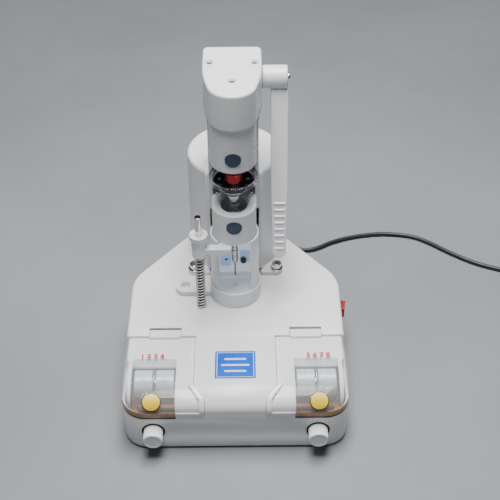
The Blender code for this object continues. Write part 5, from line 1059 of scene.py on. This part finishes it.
chrome = finish("screw_chrome", ((0.68, 0.67, 0.66), (0.76, 0.75, 0.74)), (0.1, 0.2), 4.0, 0.2, 0.002, 1.0)
washer_line = eased(pipe(2.6, 6.2, 66.3, 67.5), [0, .3, .3, 0, 0], 4, hold=0.1)
head_line = densified(eased([(2.5, 67.5), (4.7, 67.5), (4.7, 73.0), (0, 73.0)], [0, 0.3, 0.7, 0], 5,
                            hold=0.2), 0.8)
shank = np.array([(0, 62.4), (2.45, 62.4), (2.45, 67.5)])


def hexagon(radius, at, low, high, turn=0.0):
    """The cutter of a hexagon socket, its corners at a radius round a point."""
    corners = [(radius * math.cos(a), radius * math.sin(a)) for a in np.arange(6) * math.pi / 3 + turn]
    return prism(np.array(corners) + at, low, high)


for side, label in SIDES:
    at = (side * BOLT_AT[0], BOLT_AT[1])
    line = np.concatenate((shank, head_line))
    bolt = mesh_piece(f"flange_screw_{label}", [ridged(line, at, 36, 0.14, 68.2, 72.0, 0.3, "z")], chrome)
    joined(bolt, "DIFFERENCE", hexagon(2.6, at, 70.0, 74.0, 0.2))
    carried(bolt, "base", "chrome", f"housing_bolt_{label}")
    piece(f"flange_washer_{label}", [turned(washer_line, at, "z", 64)], chrome, "base", "chrome")

cast_aluminium = finish("slide_aluminium", ((0.55, 0.56, 0.57), (0.63, 0.64, 0.65)),
                        (0.35, 0.5), 10.0, 0.5, 0.01, 1.0)
rack_steel = finish("rack_steel", ((0.42, 0.42, 0.43), (0.52, 0.52, 0.53)), (0.25, 0.4), 6.0, 0.3, 0.004, 1.0)
core_steel = finish("core_steel", ((0.20, 0.19, 0.18), (0.28, 0.26, 0.24)), (0.4, 0.6), 8.0, 0.35, 0.02, 0.7)
kept = {"slide_base": cast_aluminium, "rack_post": rack_steel, "pinion_shaft": rack_steel,
        "transformer": core_steel}
for node, material in kept.items():
    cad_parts[node].data.materials[0] = material

# Guide rods: two ground and hardened steel rods that stand in the slide's
# block; the head runs on them.
ROD_AT = (14.5, 188.5)

ground_steel = finish("ground_steel", ((0.60, 0.60, 0.61), (0.68, 0.68, 0.69)),
                      (0.1, 0.18), 6.0, 0.2, 0.001, 1.0)
for side, label in SIDES:
    rod_line = densified(eased(bar(4.0, ON_DECK_Z, 240.0), 0.8, 4), 20.0)
    piece(f"slide_rod_{label}", [turned(rod_line, (side * ROD_AT[0], ROD_AT[1]), "z", 48)], ground_steel,
          "base", "steel", f"guide_rod_{label}")

# Head frame: the white enamelled casting that slides on the rods. Its round
# nose carries the spindle's bearing, two cheeks run up beside the rods, and a
# front plate and two bridges tie them.
NOSE_R = 20.5
PIVOT = (189.0, 276.4)


def half_round(radius, centre_y, back_y, steps=72):
    """A plan that is half round in front of centre_y and runs straight back to back_y."""
    front = arc(radius, np.pi, 2 * np.pi, steps, (0.0, centre_y))
    return np.concatenate((front, [(radius, back_y), (-radius, back_y)]))


enamel = finish("head_enamel", ((0.79, 0.80, 0.81), (0.83, 0.835, 0.84)), (0.2, 0.3), 22.0, 0.9, 0.02)
nose = mesh_piece("head_nose",
                  [slab(half_round(NOSE_R, DRILL_AT[1], 169.5), 137.0, 170.0, 0.8, 1.0, steps=5)], enamel)
middle_y = DRILL_AT[1]
under = arc(NOSE_R, np.pi, 0, 72, DRILL_AT)
under = np.concatenate(([(-32.0, middle_y)], under, [(32.0, middle_y), (32.0, 176.0), (-32.0, 176.0)]))
recess = [(0, 148.0), (12.5, 148.0), (12.5, 169.2), (13.8, 169.2), (13.8, 173.0), (0, 173.0)]
recess = eased(recess, [0, 0.6, 0.3, 0.2, 0, 0], 5)
joined(nose, "DIFFERENCE", prism(under, 130.0, 154.0), turned(recess, DRILL_AT, "z", 128),
       turned(bar(3.6, 130.0, 150.0), DRILL_AT, "z", 48),
       turned(bar(7.3, 119.0, 129.0), (0.0, 157.0), "y", 64))
softened(nose, 0.3)
carried(nose, "carriage", "white_enamel", "head_frame")
cheek_plan = [(158, 153), (203, 153), (203, 264), (200, 264), (200, 288), (178, 288), (178, 264), (158, 264)]
cheek_plan = eased(cheek_plan, [2.0, 2.0, 1.0, 1.0, 3.0, 3.0, 1.0, 1.0], 5, closed=True)
shoulder = [(21.05, 247.0), (22.8, 247.0), (25.8, 260.0), (25.8, 263.5), (21.05, 263.5)]
for side, label in SIDES:
    low, high = sided(side, 19.3, 22.8)
    cheek = mesh_piece(f"head_cheek_{label}", [slab(cheek_plan, low, high, 0.5, 0.5, "x")], enamel)
    flare = np.array(shoulder) * (side, 1)
    joined(cheek, "UNION", prism(flare if side > 0 else flare[::-1], 166.0, 203.0, "y"))
    joined(cheek, "DIFFERENCE", turned(bar(4.3, 15.0 * side, 30.0 * side), PIVOT, "x", 40))
    softened(cheek, 0.5)
    carried(cheek, "carriage", "white_enamel")
plate = slab(rounded_box((-19.3, 19.3), (153.0, 264.0), 0.5), 168.0, 171.0, 0.4, 0.4, "y")
piece("head_front_plate", [plate], enamel, "carriage", "white_enamel")
for label, low in (("lower", 153.3), ("upper", 226.3)):
    tie = mesh_piece(f"head_bridge_{label}",
                     [slab(rounded_box((-19.3, 19.3), (171.0, 200.5), 1.0), low, low + 11.7, 0.5, 0.5)],
                     enamel)
    holes = [turned(bar(4.3, 150.0, 242.0), (side * ROD_AT[0], ROD_AT[1]), "z", 40) for side in (-1, 1)]
    joined(tie, "DIFFERENCE", *holes, block((-4.6, 4.6), (160.0, 178.3), (150.0, 242.0)))
    carried(tie, "carriage", "white_enamel")

# Bearing sleeve and the nose's two screws: a turned steel sleeve stands in
# the nose's recess round the spindle; dome screws hold it from above.
sleeve_steel = brushed("sleeve_steel", ((0.60, 0.60, 0.61), (0.70, 0.70, 0.71)),
                       (0.12, 0.32), 0.35, (*DRILL_AT, 148), "z", 0.006)
sleeve_line = [(2.6, 148.3), (9.5, 148.3), (9.5, 151.5), (6.0, 151.5), (6.0, 164.0), (4.4, 164.0),
               (4.4, 169.0), (5.2, 169.4), (5.2, 171.2), (4.4, 171.6), (4.4, 177.5), (5.0, 177.5),
               (5.0, 181.5), (2.6, 181.5), (2.6, 148.3)]
sleeve_line = eased(sleeve_line, [0, 0.3, 0.4, 0.3, 0.7, 0.3, 0.2, 0.2, 0.2, 0.2, 0.3, 0.3, 0.6, 0.3, 0],
                    4, hold=0.15)
piece("spindle_sleeve", [turned(sleeve_line, DRILL_AT, "z", 96)], sleeve_steel, "carriage", "steel",
      "bearing_sleeve")


def dome_screw(name, at, z, radius, height, material, body):
    """A dome-headed cross-recess screw: at the radius r its head stands height * (0.35 + 0.65 *
    sqrt(1 - (r / R)^2)) over its seat, and two slots are cut into it."""
    r = radius * np.sin(np.linspace(np.pi / 2, 0, 12))
    line = np.column_stack((r, z + height * (0.35 + 0.65 * np.sqrt(np.clip(1 - (r / radius) ** 2, 0, 1)))))
    line = np.concatenate(([(0, z), (radius, z)], line))
    screw = mesh_piece(name, [turned(line, at, "z", 48)], material)
    arm, deep = radius * 0.55, (z + height * 0.55, z + height + 1.0)
    joined(screw, "DIFFERENCE", block((at[0] - arm, at[0] + arm), (at[1] - 0.3, at[1] + 0.3), deep),
           block((at[0] - 0.3, at[0] + 0.3), (at[1] - arm, at[1] + arm), deep))
    return carried(screw, body, "chrome")


for side, label in SIDES:
    dome_screw(f"nose_screw_{label}", (side * 15.4, 161.5), 170.0, 2.6, 1.6, chrome, "carriage")
    dome_screw(f"motor_screw_{label}", (side * 12.6, 145.5), 197.0, 1.9, 1.2, chrome, "carriage")

# Drill motor and the black plate under it: a steel can with a foot against the
# front plate, and below it a slotted plate of black anodised aluminium with
# two screws, open to the front round the coupling.
can_line = [(2.6, 222.0), (2.6, 213.3), (15.0, 213.3), (15.0, 222.0), (14.7, 222.3), (14.7, 223.1),
            (15.0, 223.4), (15.0, 250.0), (0, 250.0)]
can_line = np.concatenate(([(0, 222.0)],
                           eased(can_line, [0, 0, 1.2, 0.1, 0.1, 0.1, 0.1, 1.5, 0], 5, hold=0.3)))
drill_can = brushed("drill_can", ((0.52, 0.52, 0.53), (0.60, 0.60, 0.61)),
                    (0.2, 0.4), 0.6, (*DRILL_AT, 200), "z", 0.003)
motor = mesh_piece("drill_motor_can", [turned(can_line, DRILL_AT, "z", 96)], drill_can)
joined(motor, "UNION", slab(rounded_box((-9.0, 9.0), (153.0, 167.7), 0.5), 213.3, 221.3, 0.4, 0.4))
carried(motor, "carriage", "steel", "drill_motor")
black_anodised = finish("plate_black", ((0.012, 0.012, 0.014), (0.022, 0.022, 0.024)),
                        (0.3, 0.42), 6.0, 0.3, 0.01, 0.4)
PLATE_R = 18.2
SLOT_R = 9.0
ear = arc(PLATE_R, -math.asin(6.0 / PLATE_R), math.radians(49.0), 15, DRILL_AT)
slot = arc(SLOT_R, 0, math.pi, 24, DRILL_AT)
half_plan = np.concatenate((ear, [(12.0, 167.7)]))
mirror = half_plan[::-1] * (-1, 1)
plate_plan = np.concatenate((half_plan, mirror, [(-SLOT_R, 138.5)], slot[::-1], [(SLOT_R, 138.5)]))
corner = [2.2] + [0] * (len(half_plan) * 2 - 2) + [2.2, 2.2] + [0] * len(slot) + [2.2]
piece("motor_mount", [slab(eased(plate_plan, corner, 6, closed=True), 193.3, 197.0, 0.4, 0.4)],
      black_anodised, "carriage", "black_plastic", "motor_plate")

# Guard ring: a clear acrylic ring round the coupling, its tab against the
# front plate.
smoked = finish("guard_acrylic", ((0.66, 0.67, 0.78), (0.74, 0.75, 0.85)), (0.02, 0.05), 12.0, 6.0, 0.02)
tuned(smoked, {"Transmission Weight": 1.0, "IOR": 1.49})
ring_line = eased(pipe(20.5, 22.0, 197.3, 202.3), [0, 0.3, 0.3, 0.3, 0], 3, hold=0.1)
guard = mesh_piece("clear_guard", [turned(ring_line, DRILL_AT, "z", 144)], smoked)
joined(guard, "UNION", block((-6.0, 6.0), (165.8, 167.7), (197.3, 202.3)))
carried(guard, "carriage", "clear_plastic", "guard_ring")

# Head cover and cap: white ABS mouldings. The cover wraps the motor in a half
# round; the cap sits over the lever's shaft, rounded at its upper edge, with
# three shallow screw cups. A flat cover closes the back.
CAP_LOW, CAP_HIGH = 264.0, 298.0
CAP_FRONT_R = 21.2
CAP_FRONT_Y = 142.3
CAP_SIDE_X = 25.8
CAP_WIDE_Y = 172.0
COVER_R = 20.7
COVER_INNER_R = 18.7
COVER_BACK_Y = 157.7


def cap_plan(draw):
    """Plan of the cap: half round in front, widening to the back, every side moved in by draw."""
    tangent = math.atan2(CAP_SIDE_X - CAP_FRONT_R, 167.0 - CAP_FRONT_Y)
    front = arc(CAP_FRONT_R - draw, math.pi + tangent, 2 * math.pi - tangent, 64, (0.0, CAP_FRONT_Y))
    side, back, corner = CAP_SIDE_X - draw, 205.5 - draw, 5.0 - draw
    right = arc(corner, 0, math.pi / 2, 10, (side - corner, back - corner))
    rise = np.linspace(0, 1, 8)[1:-1]
    blend = np.column_stack((side - (side - front[-1, 0]) * (1 - rise) ** 2,
                             front[-1, 1] + rise * (CAP_WIDE_Y - front[-1, 1])))
    right = np.concatenate((blend, [(side, CAP_WIDE_Y)], right))
    return np.concatenate((front, right, right[::-1] * (-1, 1)))


def cap_rings(draw, low, high, edge):
    """The cap's skin from its open edge up and over the rounded rim."""
    rows = [at_height(cap_plan(draw), z) for z in (low, low + 1.0)]
    for a in np.linspace(0, math.pi / 2, 9):
        rows.append(at_height(cap_plan(draw + edge * (1 - math.cos(a))), high - edge + edge * math.sin(a)))
    return rows + [at_height(cap_plan(draw + edge + 0.6), high)]


cap_abs = finish("cap_abs", WHITE_TONES, (0.24, 0.33), 35.0, 0.45, 0.012)
cap_skin = cap_rings(2.3, CAP_LOW, CAP_HIGH - 2.3, 1.0)[::-1] + cap_rings(0.0, CAP_LOW, CAP_HIGH, 2.4)
cap = mesh_piece("head_hood", [np.stack(cap_skin)], cap_abs)
CAP_SCREWS = ((-19.6, 178.0), (19.6, 178.0), (0.0, 147.0))
cup_line = [(0, 296.0), (3.2, 296.0), (3.7, 297.4), (4.1, 298.1), (4.1, 299.0), (0, 299.0)]
cups = [turned(cup_line, at, "z", 48) for at in CAP_SCREWS]
cups.append(turned(bar(5.0, 19.0, 30.0), PIVOT, "x", 48))
joined(cap, "DIFFERENCE", *cups)
softened(cap, 0.25)
carried(cap, "carriage", "white_plastic", "head_cap")
zinc = finish("screw_zinc", ((0.26, 0.26, 0.27), (0.34, 0.34, 0.35)), (0.35, 0.5), 3.0, 0.2, 0.004, 1.0)
for at, label in zip(CAP_SCREWS, ("left", "right", "front")):
    dome_screw(f"cap_screw_{label}", at, 295.8, 2.9, 0.9, zinc, "carriage")

outer, inner = (half_round(radius, middle_y, COVER_BACK_Y)[:-2] for radius in (COVER_R, COVER_INNER_R))
ends = [(x, COVER_BACK_Y) for x in (-COVER_R, COVER_R, COVER_INNER_R, -COVER_INNER_R)]
wrap = np.concatenate((ends[:1], outer, ends[1:3], inner[::-1], ends[3:]))
head_cover = mesh_piece("motor_cover", [slab(wrap, 218.0, 262.9, 0.6, 0.5)], cap_abs)
joined(head_cover, "DIFFERENCE", turned(bar(7.3, 118.0, 130.0), (0.0, 232.0), "y", 64))
carried(head_cover, "carriage", "white_plastic", "head_cover")
back = slab(rounded_box((-22.6, 22.6), (153.0, 263.7), 1.5), 203.3, 205.1, 0.1, 0.6, "y")
piece("rear_cover", [back], cap_abs, "carriage", "white_plastic", "back_cover")

plug_line = [(0, 0.0), (5.6, 0.0), (7.0, 0.25), (7.0, 5.3), (0, 5.3)]
for name, node, front_y, z in (("upper_button", "upper_plug", 123.2, 232.0),
                               ("lower_button", "lower_plug", 123.4, 157.0)):
    line = eased(plug_line, [0, 0.8, 0.5, 0.2, 0], 5, hold=0.2) + (0, front_y)
    piece(name, [turned(line, (0.0, z), "y", 64)], navy, "carriage", "navy_plastic", node)

# Stop bracket, rod, nut and return spring: the bracket on the nose slides on
# a chromed rod; the knurled nut above it sets the drilling depth and the
# steel spring below lifts the head again.
STOP_AT = (-32.7, 124.0)

bracket_line = eased(pipe(3.5, 6.75, 126.0, 146.0), [0, 0.8, 0.8, 0.2, 0], 5, hold=0.3)
bracket = mesh_piece("stop_arm", [turned(bracket_line, STOP_AT, "z", 80)], enamel)
arm_plan = [(-33.0, 118.5), (-3.0, 118.5), (-3.0, 133.0), (-14.0, 133.0), (-14.0, 126.5), (-33.0, 126.5)]
arm_plan = eased(arm_plan, [0, 1.5, 1.0, 1.0, 2.5, 0], 6, closed=True)
joined(bracket, "UNION", slab(arm_plan, 130.7, 136.7, 0.8, 0.8))
joined(bracket, "DIFFERENCE", turned(bar(3.5, 120.0, 150.0), STOP_AT, "z", 48))
softened(bracket, 0.4)
carried(bracket, "carriage", "white_enamel", "stop_bracket")

stop_chrome = finish("rod_chrome", ((0.70, 0.69, 0.68), (0.78, 0.77, 0.76)),
                     (0.06, 0.14), 5.0, 0.2, 0.001, 1.0)
rod_line = densified(eased(bar(3.0, ON_DECK_Z, 171.0), 0.5, 4, hold=0.2), 15.0)
# Below 128 mm, where the bracket and the spring cover it, the rod's colour turns near black: painted shade,
# together with an oil film on it.
nodes, links, shader = workings(stop_chrome)
apart = nodes.new("ShaderNodeSeparateXYZ")
links.new(nodes.new("ShaderNodeTexCoord").outputs["Object"], apart.inputs[0])
oil_and_painted_shade = ranged(nodes, links, apart.outputs["Z"], 0.126, 0.130, 0.0, 1.0)
bare = shader.inputs["Base Color"].links[0].from_socket
links.new(mixed(nodes, links, oil_and_painted_shade, (0.035, 0.034, 0.033), bare), shader.inputs["Base Color"])
stop_rod = mesh_piece("depth_rod", [turned(rod_line, STOP_AT, "z", 64)], stop_chrome)
joined(stop_rod, "DIFFERENCE", hexagon(1.45, STOP_AT, 168.0, 172.0))
carried(stop_rod, "base", "chrome", "stop_rod")

nut_line = pipe(3.3, 8.65, 146.3, 151.0)
nut_line = densified(eased(nut_line, [0, 0.7, 0.7, 0.3, 0], 5, hold=0.2), 0.9)
piece("depth_nut", [ridged(nut_line, STOP_AT, 30, 0.3, 147.0, 150.3, 0.4, "z")], knob_white, "stop_nut",
      "white_plastic", "stop_nut")

SPRING_LOW, SPRING_HIGH, CURLS = 63.1, 125.2, 19
gone = np.arange(CURLS * 40 + 1) / 40.0
even = np.interp(gone, [0, 0.75, CURLS - 0.75, CURLS], [0, 0.012, 0.988, 1.0])
angle = 2 * np.pi * gone
coil_line = np.stack((STOP_AT[0] + 4.0 * np.cos(angle), STOP_AT[1] + 4.0 * np.sin(angle),
                      SPRING_LOW + (SPRING_HIGH - SPRING_LOW) * even), axis=1)
spring_steel = finish("spring_steel", ((0.80, 0.79, 0.78), (0.88, 0.87, 0.86)),
                      (0.22, 0.34), 3.0, 0.2, 0.002, 0.6)
spring = mesh_piece("lift_spring", [tube_along(coil_line, 0.5, 12)], spring_steel, 60.0)
carried(spring, "base", "chrome", "return_spring")
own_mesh(spring)

# Spindle: a ground steel shaft with a grey balance disc, a red coupling to
# the motor, a collet, and the fine dark drill bit in it.
shaft_line = [(1.0, 116.3), (2.8, 116.3), (2.8, 119.0), (2.2, 119.0), (2.2, 188.5), (12.0, 188.5),
              (12.0, 190.0), (2.2, 190.0), (2.2, 221.5), (0, 221.5)]
shaft_line = np.concatenate(([(0, 117.0)],
                             eased(shaft_line, [0, 0.3, 0.3, 0.2, 0.2, 0.3, 0.3, 0.2, 0.3, 0], 4, hold=0.15)))
shaft_steel = brushed("shaft_steel", ((0.50, 0.51, 0.53), (0.60, 0.61, 0.63)),
                      (0.14, 0.3), 0.4, (*DRILL_AT, 116), "z", 0.003)
piece("drill_shaft", [turned(densified(shaft_line, 12.0), DRILL_AT, "z", 96)], shaft_steel, "spindle",
      "steel", "spindle_shaft")
coupling_line = [(2.5, 195.8), (6.0, 195.8), (6.0, 198.5), (7.8, 198.5), (7.8, 207.0), (2.5, 207.0),
                 (2.5, 195.8)]
coupling_line = densified(eased(coupling_line, [0, 0.7, 0.4, 0.5, 0.5, 0.2, 0], 5, hold=0.2), 0.8)
red_anodised = finish("coupling_red", ((0.50, 0.012, 0.02), (0.60, 0.02, 0.03)),
                      (0.18, 0.28), 3.0, 0.3, 0.003, 0.35)
piece("red_coupling", [ridged(coupling_line, DRILL_AT, 24, 0.2, 199.4, 206.0, 0.4, "z")], red_anodised,
      "spindle", "red_plastic", "shaft_coupling")
collet_line = [(0.85, 100.0), (2.2, 100.0), (3.15, 103.0), (3.15, 109.0), (2.95, 109.3), (2.95, 110.0),
               (3.15, 110.3), (3.15, 116.0), (0.85, 116.0), (0.85, 100.0)]
collet_line = densified(eased(collet_line, [0, 0.3, 0.4, 0.05, 0.05, 0.05, 0.05, 0.4, 0.1, 0], 4), 1.2)
collet_steel = finish("collet_steel", ((0.46, 0.39, 0.39), (0.56, 0.48, 0.48)),
                      (0.25, 0.38), 3.0, 0.25, 0.003, 1.0)
piece("drill_collet", [ridged(collet_line, DRILL_AT, 18, 0.16, 110.8, 115.4, 0.3, "z")], collet_steel,
      "spindle", "collet_steel", "collet")


def fluted(low, high, radius, turns, sides=24):
    """A twist drill: at height z the radius is R (1 - 0.28 cos(a - 2 pi turns s)^2) over the flutes,
    s from the tip up, shrinking to a point over the last half millimetre."""
    z = np.concatenate(([low, low + 0.02], np.linspace(low + 0.35, low + 12.0, 90), [low + 12.6, high]))
    s = np.clip((z - low) / 12.0, 0, 1)
    a = 2 * np.pi * np.arange(sides) / sides
    fading = 0.28 * np.clip((low + 12.4 - z) / 0.5, 0, 1)[:, None]
    cut = fading * np.cos(a[None] - 2 * np.pi * turns * s[:, None]) ** 2
    point = np.clip((z - low) / 0.5, 0.02, 1)[:, None]
    r = radius * point * (1 - cut)
    grid = np.stack((DRILL_AT[0] + r * np.cos(a), DRILL_AT[1] + r * np.sin(a),
                     np.broadcast_to(z[:, None], r.shape)), axis=-1)
    return np.concatenate((grid[:1] * 0 + (*DRILL_AT, low), grid[1:]))


bit_dark = finish("bit_carbide", ((0.05, 0.05, 0.055), (0.10, 0.10, 0.11)),
                  (0.2, 0.35), 1.5, 0.15, 0.002, 1.0)
piece("twist_bit", [fluted(83.0, 112.0, 0.7, 4.0)], bit_dark, "spindle", "steel", "drill_bit")

# Lever: one white ABS moulding, a round hub on the pinion's shaft and a flat
# arm with eight ribs across its grip, held by a chromed dome screw.
ARM_X = (33.8, 49.4)
ARM_LENGTH = 169.4
ARM_HALF = 7.8
ARM_END_R = 6.1
ARM_GRIP_START = 100.0
HUB_END_X = 48.8
BORE_END_X = 45.8
ARM_TILT = math.radians(20.0)
RIBS = 8
RIB_START = 116.0
RIB_PITCH = 6.25
RIB_HALF = 1.25
RIB_HEIGHT = 0.9


def arm_grid():
    """The arm's skin: at s along it a rounded rectangle 2 w(s) wide and 9 thick, its round end drawn
    in as w sqrt(1 - q^2). On the front face each rib stands up by a quarter wave of cosine to either side."""
    round_from = ARM_LENGTH - ARM_END_R
    round_end = round_from + ARM_END_R * np.sin(np.linspace(0, np.pi / 2, 22))[1:]
    reach = np.concatenate((np.linspace(4.0, ARM_GRIP_START, 12)[:-1],
                            np.linspace(ARM_GRIP_START, round_from, 230), round_end))
    width = np.interp(reach, [0, ARM_GRIP_START, round_from, ARM_LENGTH],
                      [ARM_HALF, ARM_HALF, ARM_END_R, ARM_END_R])
    past = np.clip((reach - round_from) / ARM_END_R, 0, 0.9999)
    width = width * np.sqrt(1 - past**2)
    thick = 4.5 - 1.2 * (1 - np.sqrt(1 - np.clip((reach - ARM_LENGTH + 3.6) / 3.7, 0, 0.999) ** 2))
    rows = []
    for s, w, t in zip(reach, width, thick):
        edge = min(1.2, 0.6 * w, 0.6 * t)
        ring = eased([(-w, -t), (w, -t), (w, t), (-w, t)], edge, 5, closed=True)
        front = np.linspace(ring[5], ring[6], 26)[1:-1]
        ring = np.concatenate((ring[:6], front, ring[6:]))
        place = (s - RIB_START) / RIB_PITCH
        off = (place - np.clip(round(place), 0, RIBS - 1)) * RIB_PITCH
        rib = math.cos(math.pi / 2 * off / RIB_HALF) ** 0.8 if abs(off) < RIB_HALF else 0.0
        held = np.clip((w - 1.9 - np.abs(ring[:, 0])) / 0.6, 0, 1) * (ring[:, 1] < -t + 0.01)
        ring[:, 1] -= RIB_HEIGHT * rib * held
        rows.append(at_height(ring, -s))
    return np.stack(rows)


def tilted(grid):
    """Local (across, thickness, height) turned by the tilt about the pivot and put in its place."""
    x = grid[..., 0] + (ARM_X[0] + ARM_X[1]) / 2
    y = grid[..., 1] * math.cos(ARM_TILT) + grid[..., 2] * math.sin(ARM_TILT) + PIVOT[0]
    z = -grid[..., 1] * math.sin(ARM_TILT) + grid[..., 2] * math.cos(ARM_TILT) + PIVOT[1]
    return np.stack((x, y, z), axis=-1)


lever_abs = finish("lever_abs", ((0.76, 0.77, 0.785), (0.80, 0.805, 0.815)), (0.26, 0.36), 28.0, 0.5, 0.014)
hub_line = [(4.3, 26.3), (10.5, 26.3), (10.5, 31.6), (10.3, 31.9), (10.5, 32.2), (10.5, HUB_END_X),
            (1.8, HUB_END_X), (1.8, BORE_END_X), (4.3, BORE_END_X), (4.3, 26.3)]
hub_line = eased(hub_line, [0, 1.2, 0.1, 0.1, 0.1, 1.6, 0.2, 0, 0, 0], 7, hold=0.3)
lever = mesh_piece("pull_lever", [turned(hub_line, PIVOT, "x", 96)], lever_abs)
joined(lever, "UNION", tilted(arm_grid()))
joined(lever, "DIFFERENCE", turned(bar(4.3, 20.0, BORE_END_X), PIVOT, "x", 48))
carried(lever, "lever", "white_plastic", "lever")
screw_line = [(0, -2.7), (1.5, -2.7), (1.5, 0.3), (3.6, 0.3), (3.6, 1.3), (2.2, 2.3), (0, 2.5)]
screw_line = eased(np.array(screw_line) + (0, HUB_END_X), [0, 0, 0, 0.2, 0.5, 1.0, 0], 5)
screw = mesh_piece("lever_end_screw", [turned(screw_line, PIVOT, "x", 48)], chrome)
cross = (HUB_END_X + 1.6, HUB_END_X + 3.5)
joined(screw, "DIFFERENCE", block(cross, (186.6, 191.4), (276.05, 276.75)),
       block(cross, (188.65, 189.35), (274.0, 278.8)))
carried(screw, "lever", "chrome", "lever_screw")
